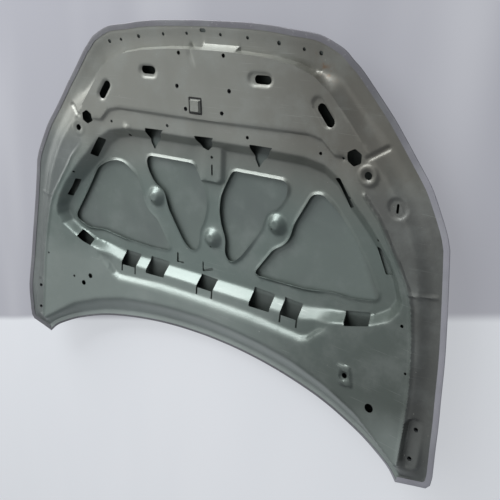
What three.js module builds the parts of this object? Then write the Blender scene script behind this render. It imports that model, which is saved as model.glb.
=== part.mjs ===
import * as THREE from 'three';

// Driving dimensions in millimetres
const bonnetWidth = 1408;
const bonnetLength = 1016;
const skinGauge = 0.8;
const innerGauge = 0.8;
const plateGauge = 1.5;
const fitGap = 0.3;

// Crown of the skin and height of the pressed frame over it
const crossCrown = 50.4;
const crossCrownShare = 0.55;
const lengthCrown = 34.7;
const noseCrown = 5.3;
const crownTwist = 10.3;
const middleDrop = 14;
const edgeCurl = 18;
const edgeCurlBand = 90;
const beamHeight = 34;
const trayHeight = 5;
const frontStep = 7;
const frontStepWidth = 8;
const rearStep = 15;
const rearStepWidth = 22;
const noseBandShare = 0.38;
const noseKinkShare = 0.86;

// Hem and flange
const hemWidth = 14;
const rearHemWidth = 6;
const flangeWidth = 18;
const edgeClearance = 1.5;

// Raised and sunk features
const lipHeight = 4;
const lipWidth = 9;
const coneRadius = 32;
const coneTopRadius = 9;
const coneHeight = 16;
const tongueHeight = 12;
const beadHeight = 4;
const beadHalfWidth = 9;
const seatDepth = 4;
const bossRadius = 27;
const bossHeight = 3;
const hingePadHeight = 15;

// Holes
const slotLength = 46;
const slotWidth = 20;
const slantSlotLength = 58;
const slantSlotWidth = 22;
const noseSlotLength = 18;
const noseSlotWidth = 9;
const noseSlotMargin = 0.5;
const hexRadius = 20;
const hingeHoleRadius = 5.5;
const strikerHoleRadius = 5.5;
const nutRadius = 9;
const nutHeight = 7;
const dabRadius = 12;
const nutBoreRadius = 4.2;
const strikerPadRise = 7;

// Plan places are stated for rear corners at 704 on either side, the nose at 545 and the rear tips at
// -471, and follow the two driving sizes
const planMiddle = (545 - 471) / 2;
const acrossScale = bonnetWidth / (704 + 704);
const alongScale = bonnetLength / (545 + 471);
const crownHalfWidth = 700 * acrossScale;
const crownHalfLength = 500 * alongScale;

const edgeSpacing = 30;

function at(x, y) {
  return new THREE.Vector2(x * acrossScale, (y - planMiddle) * alongScale);
}

function mirrored(point) {
  return new THREE.Vector2(-point.x, point.y);
}

function smoothRun(places, spacing) {
  const curve = new THREE.SplineCurve(places);
  const count = Math.max(1, Math.round(curve.getLength() / spacing));
  return curve.getSpacedPoints(count);
}

function straightRun(places, spacing) {
  const run = [places[0]];
  for (let i = 1; i < places.length; i += 1) {
    const from = places[i - 1];
    const to = places[i];
    const count = Math.max(1, Math.round(from.distanceTo(to) / spacing));
    for (let k = 1; k <= count; k += 1) {
      run.push(from.clone().lerp(to, k / count));
    }
  }
  return run;
}

function closedFromRightHalf(half) {
  const left = half.slice(1, -1).reverse().map(mirrored);
  return [...half, ...left];
}

function closedRun(places, spacing) {
  return straightRun([...places, places[0]], spacing).slice(0, -1);
}

function distanceToSegment(x, y, a, b) {
  const dx = b.x - a.x;
  const dy = b.y - a.y;
  const lengthSquared = dx * dx + dy * dy;
  const along = lengthSquared > 0 ? ((x - a.x) * dx + (y - a.y) * dy) / lengthSquared : 0;
  const share = Math.min(1, Math.max(0, along));
  return Math.hypot(x - a.x - share * dx, y - a.y - share * dy);
}

function distanceToRun(x, y, run, closed) {
  let best = Infinity;
  const last = closed ? run.length : run.length - 1;
  for (let i = 0; i < last; i += 1) {
    best = Math.min(best, distanceToSegment(x, y, run[i], run[(i + 1) % run.length]));
  }
  return best;
}

function insideLoop(x, y, loop) {
  let inside = false;
  for (let i = 0, j = loop.length - 1; i < loop.length; j = i, i += 1) {
    const a = loop[i];
    const b = loop[j];
    if ((a.y > y) !== (b.y > y) && x < ((b.x - a.x) * (y - a.y)) / (b.y - a.y) + a.x) {
      inside = !inside;
    }
  }
  return inside;
}

function clampShare(value) {
  return Math.min(1, Math.max(0, value));
}

function easeShare(value) {
  const share = clampShare(value);
  return share * share * (3 - 2 * share);
}

// Outline of the bonnet, right half from the middle of the nose to the middle of the rear edge
const nose = [at(0, 545), at(120, 543), at(190, 539), at(239, 533), at(307, 525), at(342, 513)];
const shoulder = [at(342, 513), at(375, 496), at(396, 477), at(416, 459), at(447, 424), at(498, 365)];
const flank = [at(498, 365), at(559, 285), at(593, 240), at(618, 195), at(640, 150), at(651, 118)];
const side = [at(651, 118), at(665, 14), at(681, -110), at(690, -207), at(698, -293), at(704, -407)];
const rearCorner = [at(704, -407), at(702, -430), at(693, -443), at(620, -471)];
const rearArc = [at(620, -471), at(596, -446), at(560, -424), at(500, -395), at(400, -360),
  at(300, -338), at(200, -323), at(100, -314), at(0, -311)];

const frontRun = [...smoothRun(nose, edgeSpacing), ...smoothRun(shoulder, edgeSpacing).slice(1),
  ...smoothRun(flank, edgeSpacing).slice(1), ...smoothRun(side, edgeSpacing).slice(1)];
const cornerRun = straightRun(rearCorner, edgeSpacing);
const arcRun = smoothRun(rearArc, edgeSpacing);
const outlineHalf = [...frontRun, ...cornerRun.slice(1), ...arcRun.slice(1)];
const outline = closedFromRightHalf(outlineHalf);
const curledEdge = [...[...frontRun, ...cornerRun.slice(1)].reverse(),
  ...[...frontRun, ...cornerRun.slice(1)].slice(1).map(mirrored)];

// Foot and head of the wall round the sunk tray
const trayFoot = closedFromRightHalf([at(0, 230), at(150, 230), at(280, 228), at(330, 218),
  at(365, 195), at(400, 152), at(440, 115), at(475, 78), at(508, 40), at(530, 10), at(545, -30),
  at(535, -55), at(500, -84), at(430, -103), at(380, -109), at(300, -121), at(0, -126)]);
const trayHead = closedFromRightHalf([at(0, 263), at(150, 263), at(290, 261), at(345, 250),
  at(390, 222), at(428, 180), at(465, 145), at(500, 105), at(532, 64), at(555, 20), at(568, -20),
  at(566, -45), at(545, -76), at(499, -103), at(432, -124), at(371, -143), at(313, -160), at(0, -160)]);

// Crest of the frame, from which it falls to the flange all round
const crest = closedFromRightHalf([at(0, 478), at(100, 476), at(200, 468), at(260, 457), at(310, 438),
  at(352, 405), at(400, 350), at(440, 302), at(490, 245), at(530, 195), at(560, 140), at(585, 80),
  at(600, 20), at(612, -50), at(622, -120), at(628, -200), at(632, -290), at(632, -395), at(618, -412),
  at(585, -390), at(500, -330), at(400, -290), at(300, -262), at(200, -248), at(100, -240), at(0, -236)]);

const frontRidge = [at(0, 304), at(300, 307), at(334, 299), at(368, 268), at(420, 268)];
const rearBead = [at(0, -182), at(255, -188), at(318, -192), at(362, -161), at(392, -140), at(430, -139)];
const sideBead = [at(450, 198), at(491, 153), at(519, 109), at(546, 68), at(572, 27), at(583, 3),
  at(592, -25), at(606, -99), at(614, -158), at(619, -206), at(622, -265), at(624, -400)];

// Pockets of the tray, from the nose side round: the two on the right, then the outer one on the left
const innerPocket = [at(64, 186), at(225, 186), at(234, 168), at(226, 140), at(204, 108), at(172, 90),
  at(156, 40), at(126, -6), at(98, -46), at(76, -66), at(60, -66), at(46, -48), at(46, -6), at(30, 30),
  at(22, 70), at(26, 110), at(44, 150)];
const outerPocket = [at(302, 166), at(330, 172), at(366, 146), at(415, 95), at(463, 30), at(505, -36),
  at(496, -52), at(430, -66), at(390, -65), at(300, -80), at(160, -84), at(148, -76), at(200, 0),
  at(232, 20), at(248, 44), at(256, 80)];
const leftOuterPocket = [at(-314, 158), at(-359, 156), at(-402, 142), at(-426, 113), at(-468, 40),
  at(-513, -43), at(-500, -62), at(-466, -74), at(-400, -71), at(-374, -75), at(-306, -86), at(-160, -89),
  at(-148, -76), at(-200, 0), at(-232, 20), at(-248, 44), at(-270, 120)];
const pockets = [innerPocket, outerPocket, innerPocket.map(mirrored), leftOuterPocket];

const cones = [at(0, -14), at(204, 68), mirrored(at(204, 68))];
const tongue = [at(-35, 236), at(35, 236), at(34, 152), at(22, 138), at(-22, 138), at(-34, 152)];
const bosses = [at(455, 242), mirrored(at(455, 242)), at(457, -247)];

function hasInwardCorner(loop) {
  const turns = loop.map((point, i) => {
    const before = loop[(i + loop.length - 1) % loop.length];
    const after = loop[(i + 1) % loop.length];
    return (point.x - before.x) * (after.y - point.y) - (point.y - before.y) * (after.x - point.x);
  });
  return turns.some((turn) => turn > 1e-6) && turns.some((turn) => turn < -1e-6);
}

function capsule(centre, length, width, angle, cornerCount) {
  const loop = [];
  const reach = length / 2 - width / 2;
  for (let end = 0; end < 2; end += 1) {
    for (let k = 0; k <= cornerCount; k += 1) {
      const turn = (end === 0 ? -Math.PI / 2 : Math.PI / 2) + (Math.PI * k) / cornerCount;
      const px = (end === 0 ? reach : -reach) + (width / 2) * Math.cos(turn);
      const py = (width / 2) * Math.sin(turn);
      loop.push(new THREE.Vector2(
        centre.x + px * Math.cos(angle) - py * Math.sin(angle),
        centre.y + px * Math.sin(angle) + py * Math.cos(angle),
      ));
    }
  }
  return loop;
}

function ring(centre, radius, count) {
  const loop = [];
  for (let k = 0; k < count; k += 1) {
    const turn = (2 * Math.PI * (k + 0.5)) / count;
    loop.push(new THREE.Vector2(centre.x + radius * Math.cos(turn), centre.y + radius * Math.sin(turn)));
  }
  return loop;
}

// Seats pressed round the slots, and the hinge pads
const slantAngle = -0.9;
const seats = [
  capsule(at(170, 421), slotLength + 26, slotWidth + 16, 0, 3),
  capsule(at(-176, 417), slotLength + 18, slotWidth + 16, 0, 3),
  capsule(at(336, 364), slantSlotLength + 22, slantSlotWidth + 14, slantAngle, 3),
  capsule(at(-342, 358), slantSlotLength + 14, slantSlotWidth + 12, -slantAngle, 3),
  capsule(at(529, 183), 52, 44, slantAngle, 3),
  capsule(at(470, 292), 62, 16, 0.6, 2),
  capsule(at(-470, 292), 62, 16, -0.6, 2),
];
const hingePad = capsule(at(648, -343), 122, 34, Math.PI / 2 + 0.03, 3);
const hingePads = [hingePad, hingePad.map(mirrored)];
const hingePadCentre = at(648, -343);

const strikerBoltPlaces = [at(81, 388), at(57, 333), at(-57, 333), at(-81, 388)];
const hingeBoltPlaces = [at(649, -306), at(647, -381)];
const strikerPadCentre = at(-25, 343.5);
const window = [at(-46, 322), at(-4, 322), at(-4, 365), at(-46, 365)];

const rightDabs = [at(110, 212), at(244, 122), at(143, -30), at(70, -93)];
const dabPlaces = [...rightDabs, ...rightDabs.map(mirrored)];

// Windows in the wall behind the tray, some with two legs running on over the shelf
function wallWindow(left, right, top, legs) {
  const legWidth = 5;
  if (!legs) {
    return [at(left, top), at(right, top), at(right, -166), at(left, -166)];
  }
  return [at(left, top), at(right, top), at(right, -181), at(right - legWidth, -181),
    at(right - legWidth, -161), at(left + legWidth, -161), at(left + legWidth, -181), at(left, -181)];
}

const rightHoles = [
  capsule(at(176, 421), slotLength, slotWidth, 0, 3),
  capsule(at(342, 358), slantSlotLength, slantSlotWidth, slantAngle, 3),
  ring(at(418, 276), hexRadius, 6),
  ring(at(455, 242), 9, 8),
  ring(at(51, 514), 4, 6),
  ring(at(127, 510), 4, 6),
  ring(at(211, 502), 5, 6),
  ring(at(275, 492), 4, 6),
  ring(at(317, 486), 5, 6),
  ring(at(68, 468), 5, 6),
  ring(at(128, 282), 4.5, 6),
  ring(at(331, 272), 4, 6),
  ring(strikerBoltPlaces[0], strikerHoleRadius, 8),
  ring(strikerBoltPlaces[1], strikerHoleRadius, 8),
  ring(hingeBoltPlaces[0], hingeHoleRadius, 8),
  ring(hingeBoltPlaces[1], hingeHoleRadius, 8),
  [at(432, -92), at(496, -76), at(499, -100), at(436, -125)],
  [at(366, 219), at(384, 225), at(424, 164), at(405, 152)],
  [at(481, 79), at(500, 84), at(534, 27), at(512, 18)],
];

// The slot at the nose keeps its margin to the flange
const noseSlotInset = flangeWidth + noseSlotWidth / 2 + noseSlotMargin;
const noseSlotCentre = new THREE.Vector2(0, at(0, 545).y - noseSlotInset);

const singleHoles = [
  capsule(noseSlotCentre, noseSlotLength, noseSlotWidth, 0, 3),
  window,
  wallWindow(-31, 27, -129, true),
  wallWindow(149, 215, -121, false),
  wallWindow(-221, -151, -121, false),
  wallWindow(247, 302, -120, true),
  wallWindow(-317, -258, -120, true),
  [at(-32, 267), at(20, 267), at(4, 234), at(-17, 232)],
  [at(138, 267), at(197, 267), at(143, 211)],
  [at(-204, 267), at(-148, 267), at(-203, 211)],
  ring(at(0, 212), 4, 6),
  capsule(at(0, 178), 30, 5, Math.PI / 2, 2),
  [at(-125, -86), at(-120, -86), at(-119, -109), at(-99, -108), at(-98, -113), at(-124, -114)],
  [at(-32, -92), at(-28, -92), at(-26, -112), at(5, -101), at(7, -106), at(-29, -118)],
  ring(at(457, -247), 7, 8),
  ring(at(532, -301), 11, 8),
  ring(at(578, -74), 4, 6),
  ring(at(-430, -222), 8, 8),
  ring(at(-457, -251), 8, 8),
  ring(at(-497, -237), 4, 6),
  ring(at(-287, 236), 4, 6),
  capsule(at(529, 183), 22, 6, Math.PI / 2, 2),
];
const holes = [...rightHoles, ...rightHoles.map((loop) => loop.map(mirrored)), ...singleHoles];

// Heights
function frameCrown(x, y) {
  const across = x / crownHalfWidth;
  const along = (y + planMiddle * alongScale) / crownHalfLength;
  const cross = across * across;
  return crossCrown * (crossCrownShare * cross + (1 - crossCrownShare) * cross * cross)
    + lengthCrown * along * along + noseCrown * along ** 3 - crownTwist * cross * along;
}

function skinHeight(x, y) {
  const across = x / (0.886 * crownHalfWidth);
  const along = (y - at(0, 60).y) / (0.84 * crownHalfLength);
  const drop = middleDrop * Math.max(0, 1 - across * across) * Math.max(0, 1 - along * along);
  const fromFlange = distanceToRun(x, y, curledEdge, false) - 1.1 * flangeWidth;
  const curl = clampShare(1 - fromFlange / edgeCurlBand);
  const fade = easeShare((y - at(0, -450).y) / (150 * alongScale));
  return frameCrown(x, y) - drop + edgeCurl * fade * curl * curl;
}

function lineHeightAt(line, x) {
  const across = Math.abs(x);
  for (let i = 1; i < line.length; i += 1) {
    if (across <= line[i].x) {
      const share = (across - line[i - 1].x) / (line[i].x - line[i - 1].x);
      return line[i - 1].y + (line[i].y - line[i - 1].y) * share;
    }
  }
  return line[line.length - 1].y;
}

function beamLevel(x, y) {
  const fade = clampShare((430 * acrossScale - Math.abs(x)) / (60 * acrossScale));
  if (y > 0) {
    const over = clampShare((y - lineHeightAt(frontRidge, x)) / frontStepWidth);
    return beamHeight - frontStep * fade * (1 - over);
  }
  const over = clampShare((lineHeightAt(rearBead, x) - y) / rearStepWidth);
  return beamHeight - rearStep * fade * (1 - over);
}

function fallFromCrest(x, y) {
  const toFlange = distanceToRun(x, y, outline, true) - flangeWidth;
  if (toFlange <= 0) {
    return 0;
  }
  const toCrest = distanceToRun(x, y, crest, true);
  const share = toFlange / (toFlange + toCrest);
  const noseward = easeShare((y - at(0, 400).y) / (60 * alongScale));
  const kinked = share < noseKinkShare ? (share / noseKinkShare) * noseBandShare
    : noseBandShare + ((share - noseKinkShare) / (1 - noseKinkShare)) * (1 - noseBandShare);
  return share * (1 - noseward) + kinked * noseward;
}

function seatShare(x, y, loop, width) {
  if (!insideLoop(x, y, loop)) {
    return 0;
  }
  return clampShare(distanceToRun(x, y, loop, true) / width);
}

const padSlopeStep = 20;
const padCentreHeight = skinHeight(hingePadCentre.x, hingePadCentre.y) + hingePadHeight;
const padSlopeX = (frameCrown(hingePadCentre.x + padSlopeStep, hingePadCentre.y)
  - frameCrown(hingePadCentre.x - padSlopeStep, hingePadCentre.y)) / (2 * padSlopeStep);
const padSlopeY = (frameCrown(hingePadCentre.x, hingePadCentre.y + padSlopeStep)
  - frameCrown(hingePadCentre.x, hingePadCentre.y - padSlopeStep)) / (2 * padSlopeStep);

function padPlane(x, y) {
  return padCentreHeight + padSlopeX * (Math.abs(x) - hingePadCentre.x)
    + padSlopeY * (y - hingePadCentre.y);
}

function innerHeight(x, y) {
  const skin = skinHeight(x, y);
  const beam = frameCrown(x, y) + beamLevel(x, y);
  let height = beam;
  if (!insideLoop(x, y, crest)) {
    const low = skin + fitGap + innerGauge;
    height = low + (beam - low) * fallFromCrest(x, y);
  }
  const tray = skin + trayHeight;
  if (insideLoop(x, y, trayFoot)) {
    height = tray;
  } else if (insideLoop(x, y, trayHead)) {
    const toFoot = distanceToRun(x, y, trayFoot, true);
    const toHead = distanceToRun(x, y, trayHead, true);
    height = tray + (beam - tray) * (toFoot / (toFoot + toHead));
  }
  for (const pocket of pockets) {
    const lip = clampShare(1 - distanceToRun(x, y, pocket, true) / lipWidth);
    height += lipHeight * lip;
  }
  for (const cone of cones) {
    const from = Math.hypot(x - cone.x, y - cone.y);
    height += coneHeight * clampShare((coneRadius - from) / (coneRadius - coneTopRadius));
  }
  if (insideLoop(x, y, tongue)) {
    const rise = clampShare(distanceToRun(x, y, tongue, true) / 10);
    height = Math.max(height, Math.min(tray + tongueHeight * rise, beam));
  }
  for (const boss of bosses) {
    const from = Math.hypot(x - boss.x, y - boss.y);
    height += bossHeight * clampShare((bossRadius - from) / 6) * clampShare((from - 8) / 5);
  }
  for (const seat of seats) {
    height -= seatDepth * seatShare(x, y, seat, 6);
  }
  const bead = clampShare(1 - distanceToRun(Math.abs(x), y, sideBead, false) / beadHalfWidth);
  height += beadHeight * bead;
  for (const pad of hingePads) {
    const share = insideLoop(x, y, pad) ? 1 : clampShare(1 - distanceToRun(x, y, pad, true) / 6);
    height += (padPlane(x, y) - height) * share;
  }
  return height;
}

// Triangles between the plan points of a sheet
function triangulate(points) {
  const reach = 4 * bonnetWidth;
  const all = points.map((point, i) => [
    point.x + 1e-4 * Math.sin(12.9898 * i),
    point.y + 1e-4 * Math.cos(78.233 * i),
  ]);
  all.push([-reach, -reach], [reach, -reach], [0, reach]);
  const count = points.length;
  let triangles = [];
  const circle = (a, b, c) => {
    const [ax, ay] = all[a];
    const [bx, by] = [all[b][0] - ax, all[b][1] - ay];
    const [cx, cy] = [all[c][0] - ax, all[c][1] - ay];
    const span = 2 * (bx * cy - by * cx);
    const ux = (cy * (bx * bx + by * by) - by * (cx * cx + cy * cy)) / span;
    const uy = (bx * (cx * cx + cy * cy) - cx * (bx * bx + by * by)) / span;
    return { a, b, c, x: ax + ux, y: ay + uy, r: ux * ux + uy * uy };
  };
  triangles.push(circle(count, count + 1, count + 2));
  for (let i = 0; i < count; i += 1) {
    const [px, py] = all[i];
    const edges = new Map();
    const kept = [];
    for (const t of triangles) {
      const dx = t.x - px;
      const dy = t.y - py;
      if (dx * dx + dy * dy < t.r) {
        for (const [from, to] of [[t.a, t.b], [t.b, t.c], [t.c, t.a]]) {
          const back = `${to},${from}`;
          if (edges.has(back)) {
            edges.delete(back);
          } else {
            edges.set(`${from},${to}`, [from, to]);
          }
        }
      } else {
        kept.push(t);
      }
    }
    for (const [from, to] of edges.values()) {
      kept.push(circle(from, to, i));
    }
    triangles = kept;
  }
  return triangles.filter((t) => t.a < count && t.b < count && t.c < count)
    .map((t) => [t.a, t.b, t.c]);
}

// Plan points, each kept clear of the ones already set
class PlanPoints {
  constructor() {
    this.points = [];
  }

  add(point, clearance) {
    for (const other of this.points) {
      if (Math.abs(other.x - point.x) < clearance && other.distanceTo(point) < clearance) {
        return -1;
      }
    }
    this.points.push(point);
    return this.points.length - 1;
  }

  addAll(places, clearance) {
    for (const place of places) {
      this.add(place, clearance);
    }
  }
}

function inwardVectors(loop) {
  return loop.map((point, i) => {
    const before = loop[(i + loop.length - 1) % loop.length];
    const after = loop[(i + 1) % loop.length];
    const inDir = point.clone().sub(before).normalize();
    const outDir = after.clone().sub(point).normalize();
    const normal = new THREE.Vector2(inDir.y + outDir.y, -inDir.x - outDir.x).normalize();
    const share = normal.x * inDir.y - normal.y * inDir.x;
    return normal.multiplyScalar(1 / Math.max(0.5, share));
  });
}

const inward = inwardVectors(outline);

function insetLoop(distance) {
  return outline.map((point, i) => point.clone().addScaledVector(inward[i], distance));
}

const flangeLoop = insetLoop(flangeWidth);
const outlineHeights = outline.map((point) => skinHeight(point.x, point.y));
const flangeHeights = flangeLoop.map((point) => skinHeight(point.x, point.y));

// Skin height at a stated distance in from the edge, straight across the flange
function flangeHeight(i, distance) {
  return outlineHeights[i] + (flangeHeights[i] - outlineHeights[i]) * (distance / flangeWidth);
}

class Solid {
  constructor() {
    this.vertices = [];
    this.faces = [];
  }

  vertex(x, y, z) {
    this.vertices.push([x, y, z]);
    return this.vertices.length - 1;
  }

  loop(places, heights) {
    return places.map((place, i) => this.vertex(place.x, place.y, heights[i]));
  }

  face(a, b, c) {
    this.faces.push([a, b, c]);
  }

  // Strip between two loops of equal count
  strip(first, second) {
    const count = first.length;
    for (let i = 0; i < count; i += 1) {
      const next = (i + 1) % count;
      this.face(first[i], second[next], first[next]);
      this.face(first[i], second[i], second[next]);
    }
  }

  geometry() {
    const geometry = new THREE.BufferGeometry();
    geometry.setAttribute('position', new THREE.Float32BufferAttribute(this.vertices.flat(), 3));
    geometry.setIndex(this.faces.flat());
    geometry.computeVertexNormals();
    return geometry;
  }
}

function boundaryEdges(triangles) {
  const edges = new Map();
  for (const [a, b, c] of triangles) {
    for (const [from, to] of [[a, b], [b, c], [c, a]]) {
      const back = `${to},${from}`;
      if (edges.has(back)) {
        edges.delete(back);
      } else {
        edges.set(`${from},${to}`, [from, to]);
      }
    }
  }
  return [...edges.values()];
}

function facingUp(triangles, points) {
  return triangles.map(([a, b, c]) => {
    const turn = (points[b].x - points[a].x) * (points[c].y - points[a].y)
      - (points[b].y - points[a].y) * (points[c].x - points[a].x);
    return turn > 0 ? [a, b, c] : [a, c, b];
  });
}

function centreInside(triangle, points, loop) {
  const x = (points[triangle[0]].x + points[triangle[1]].x + points[triangle[2]].x) / 3;
  const y = (points[triangle[0]].y + points[triangle[1]].y + points[triangle[2]].y) / 3;
  return insideLoop(x, y, loop);
}

function fillPoints(plan, loop, spacing, clearance) {
  const rows = Math.ceil(bonnetLength / spacing / 2) + 1;
  const columns = Math.ceil(bonnetWidth / spacing / 2) + 1;
  for (let row = -rows; row <= rows; row += 1) {
    for (let column = -columns; column <= columns; column += 1) {
      const x = (column + (row % 2 === 0 ? 0 : 0.5)) * spacing;
      const y = row * spacing * 0.866;
      if (insideLoop(x, y, loop) && distanceToRun(x, y, loop, true) > clearance) {
        plan.add(new THREE.Vector2(x, y), clearance);
      }
    }
  }
}

// Outer panel: crowned skin with its edge folded back over the inner panel
function outerPanel() {
  const plan = new PlanPoints();
  plan.points.push(...flangeLoop);
  for (const place of dabPlaces) {
    plan.addAll([place, ...ring(place, dabRadius + 1, 6)], 4);
  }
  plan.addAll(insetLoop(flangeWidth + 26), 16);
  plan.addAll(insetLoop(flangeWidth + 60), 26);
  fillPoints(plan, insetLoop(flangeWidth), 78, 46);
  const points = plan.points;
  const triangles = facingUp(triangulate(points), points)
    .filter((triangle) => centreInside(triangle, points, flangeLoop));
  const solid = new Solid();
  const heights = points.map((point) => skinHeight(point.x, point.y));
  const top = points.map((point, i) => solid.vertex(point.x, point.y, heights[i]));
  const bottom = points.map((point, i) => solid.vertex(point.x, point.y, heights[i] - skinGauge));
  for (const [a, b, c] of triangles) {
    solid.face(top[a], top[b], top[c]);
    solid.face(bottom[a], bottom[c], bottom[b]);
  }
  const count = outline.length;
  const hem = outline.map((point) => hemAt(point));
  const level = (distance, rise) => outline.map((_, i) => flangeHeight(i, distance) + rise);
  const hemLevel = (rise) => outline.map((_, i) => flangeHeight(i, hem[i]) + rise);
  const returnLow = 2 * fitGap + innerGauge;
  const returnHigh = returnLow + skinGauge;
  const hemLoop = outline.map((point, i) => point.clone().addScaledVector(inward[i], hem[i]));
  const wallLoop = insetLoop(skinGauge);
  const outerLow = solid.loop(outline, level(0, -skinGauge));
  const outerHigh = solid.loop(outline, level(0, returnHigh));
  const returnTop = solid.loop(hemLoop, hemLevel(returnHigh));
  const returnUnder = solid.loop(hemLoop, hemLevel(returnLow));
  const wallHigh = solid.loop(wallLoop, level(skinGauge, returnLow));
  const wallLow = solid.loop(wallLoop, level(skinGauge, 0));
  solid.strip(bottom.slice(0, count), outerLow);
  solid.strip(outerLow, outerHigh);
  solid.strip(outerHigh, returnTop);
  solid.strip(returnTop, returnUnder);
  solid.strip(returnUnder, wallHigh);
  solid.strip(wallHigh, wallLow);
  solid.strip(wallLow, top.slice(0, count));
  return solid.geometry();
}

function hemAt(point) {
  const onArc = distanceToRun(Math.abs(point.x), point.y, arcRun, false) < 1;
  const nearTip = point.distanceTo(new THREE.Vector2(Math.sign(point.x) * rearArc[0].x, rearArc[0].y)) < 1;
  return onArc || nearTip ? rearHemWidth : hemWidth;
}

// Loops with a crisp change of height on the inner panel
function innerPlanPoints() {
  const plan = new PlanPoints();
  plan.points.push(...flangeLoop);
  const rims = [...pockets.map((loop) => closedRun(loop, 17)),
    ...holes.map((loop) => closedRun(loop, hasInwardCorner(loop) ? 7 : 24))];
  for (const rim of rims) {
    plan.points.push(...rim);
  }
  for (const pocket of pockets) {
    plan.addAll(aroundLoop(closedRun(pocket, 17), lipWidth), 7.5);
  }
  for (const pad of hingePads) {
    plan.addAll(closedRun(pad, 18), 4);
    plan.addAll(aroundLoop(closedRun(pad, 18), 6), 5);
  }
  for (const cone of cones) {
    plan.addAll(ring(cone, coneTopRadius, 8), 4);
    plan.addAll(ring(cone, coneRadius, 14), 6);
  }
  for (const boss of bosses) {
    plan.addAll(ring(boss, bossRadius, 12), 4);
    plan.addAll(ring(boss, bossRadius - 7, 12), 4);
  }
  for (const seat of seats) {
    plan.addAll(closedRun(seat, 22), 4);
    plan.addAll(aroundLoop(closedRun(seat, 22), -6), 4);
  }
  for (const place of dabPlaces) {
    plan.addAll([place, ...ring(place, dabRadius + 1, 6)], 6);
  }
  plan.addAll(closedRun(tongue, 18), 6);
  plan.addAll(aroundLoop(closedRun(tongue, 18), -10), 6);
  plan.addAll(closedRun(trayFoot, 24), 9);
  plan.addAll(closedRun(trayHead, 24), 9);
  for (const flip of [1, -1]) {
    const turned = (line) => line.map((place) => new THREE.Vector2(flip * place.x, place.y));
    const ridge = straightRun(turned(frontRidge.slice(0, 4)), 28);
    plan.addAll(ridge, 6);
    plan.addAll(ridge.map((place) => new THREE.Vector2(place.x, place.y + frontStepWidth)), 6);
    const bead = straightRun(turned(rearBead.slice(0, 5)), 28);
    plan.addAll(bead, 6);
    plan.addAll(bead.map((place) => new THREE.Vector2(place.x, place.y - rearStepWidth)), 6);
    const sides = straightRun(turned(sideBead), 34);
    plan.addAll(sides, 6);
    plan.addAll(sides.map((place) => new THREE.Vector2(place.x - flip * beadHalfWidth, place.y)), 6);
    plan.addAll(sides.map((place) => new THREE.Vector2(place.x + flip * beadHalfWidth, place.y)), 6);
  }
  plan.addAll(closedRun(crest, 30), 9);
  const kink = closedRun(crest, 30).filter((place) => place.y > at(0, 400).y);
  for (const place of kink) {
    plan.add(kinkPlace(place), 8);
  }
  fillPoints(plan, flangeLoop, 52, 24);
  return plan.points;
}

function kinkPlace(place) {
  let nearest = flangeLoop[0];
  for (const other of flangeLoop) {
    if (other.distanceTo(place) < nearest.distanceTo(place)) {
      nearest = other;
    }
  }
  return nearest.clone().lerp(place, noseKinkShare);
}

function aroundLoop(loop, distance) {
  const area = loop.reduce((sum, point, i) => {
    const next = loop[(i + 1) % loop.length];
    return sum + point.x * next.y - next.x * point.y;
  }, 0);
  const sign = area > 0 ? -1 : 1;
  const vectors = inwardVectors(loop);
  return loop.map((point, i) => point.clone().addScaledVector(vectors[i], -distance * sign));
}

function slopeFactor(x, y) {
  const step = 1.5;
  const riseX = (innerHeight(x + step, y) - innerHeight(x - step, y)) / (2 * step);
  const riseY = (innerHeight(x, y + step) - innerHeight(x, y - step)) / (2 * step);
  return Math.min(1.8, Math.sqrt(1 + riseX * riseX + riseY * riseY));
}

// Inner panel: pressed frame with tray, pockets, windows, slots and holes
function innerPanel() {
  const points = innerPlanPoints();
  const openLoops = [...pockets, ...holes];
  const triangles = facingUp(triangulate(points), points)
    .filter((triangle) => centreInside(triangle, points, flangeLoop))
    .filter((triangle) => !openLoops.some((loop) => centreInside(triangle, points, loop)));
  const solid = new Solid();
  const count = outline.length;
  const upper = points.map((point, i) => (i < count
    ? flangeHeights[i] + fitGap + innerGauge
    : innerHeight(point.x, point.y)));
  const lower = points.map((point, i) => (i < count
    ? flangeHeights[i] + fitGap
    : upper[i] - innerGauge * slopeFactor(point.x, point.y)));
  const used = new Set(triangles.flat());
  const top = points.map((point, i) => (used.has(i) ? solid.vertex(point.x, point.y, upper[i]) : -1));
  const bottom = points.map((point, i) => (used.has(i) ? solid.vertex(point.x, point.y, lower[i]) : -1));
  for (const [a, b, c] of triangles) {
    solid.face(top[a], top[b], top[c]);
    solid.face(bottom[a], bottom[c], bottom[b]);
  }
  for (const [from, to] of boundaryEdges(triangles)) {
    const onFlange = from < count && to < count;
    if (!onFlange) {
      solid.face(top[to], top[from], bottom[from]);
      solid.face(top[to], bottom[from], bottom[to]);
    }
  }
  const edgeLoop = insetLoop(edgeClearance);
  const edgeTop = outline.map((_, i) => flangeHeight(i, edgeClearance) + fitGap + innerGauge);
  const edgeLow = outline.map((_, i) => flangeHeight(i, edgeClearance) + fitGap);
  const topRing = solid.loop(edgeLoop, edgeTop);
  const lowRing = solid.loop(edgeLoop, edgeLow);
  solid.strip(topRing, top.slice(0, count));
  solid.strip(lowRing, topRing);
  solid.strip(bottom.slice(0, count), lowRing);
  return solid.geometry();
}

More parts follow.
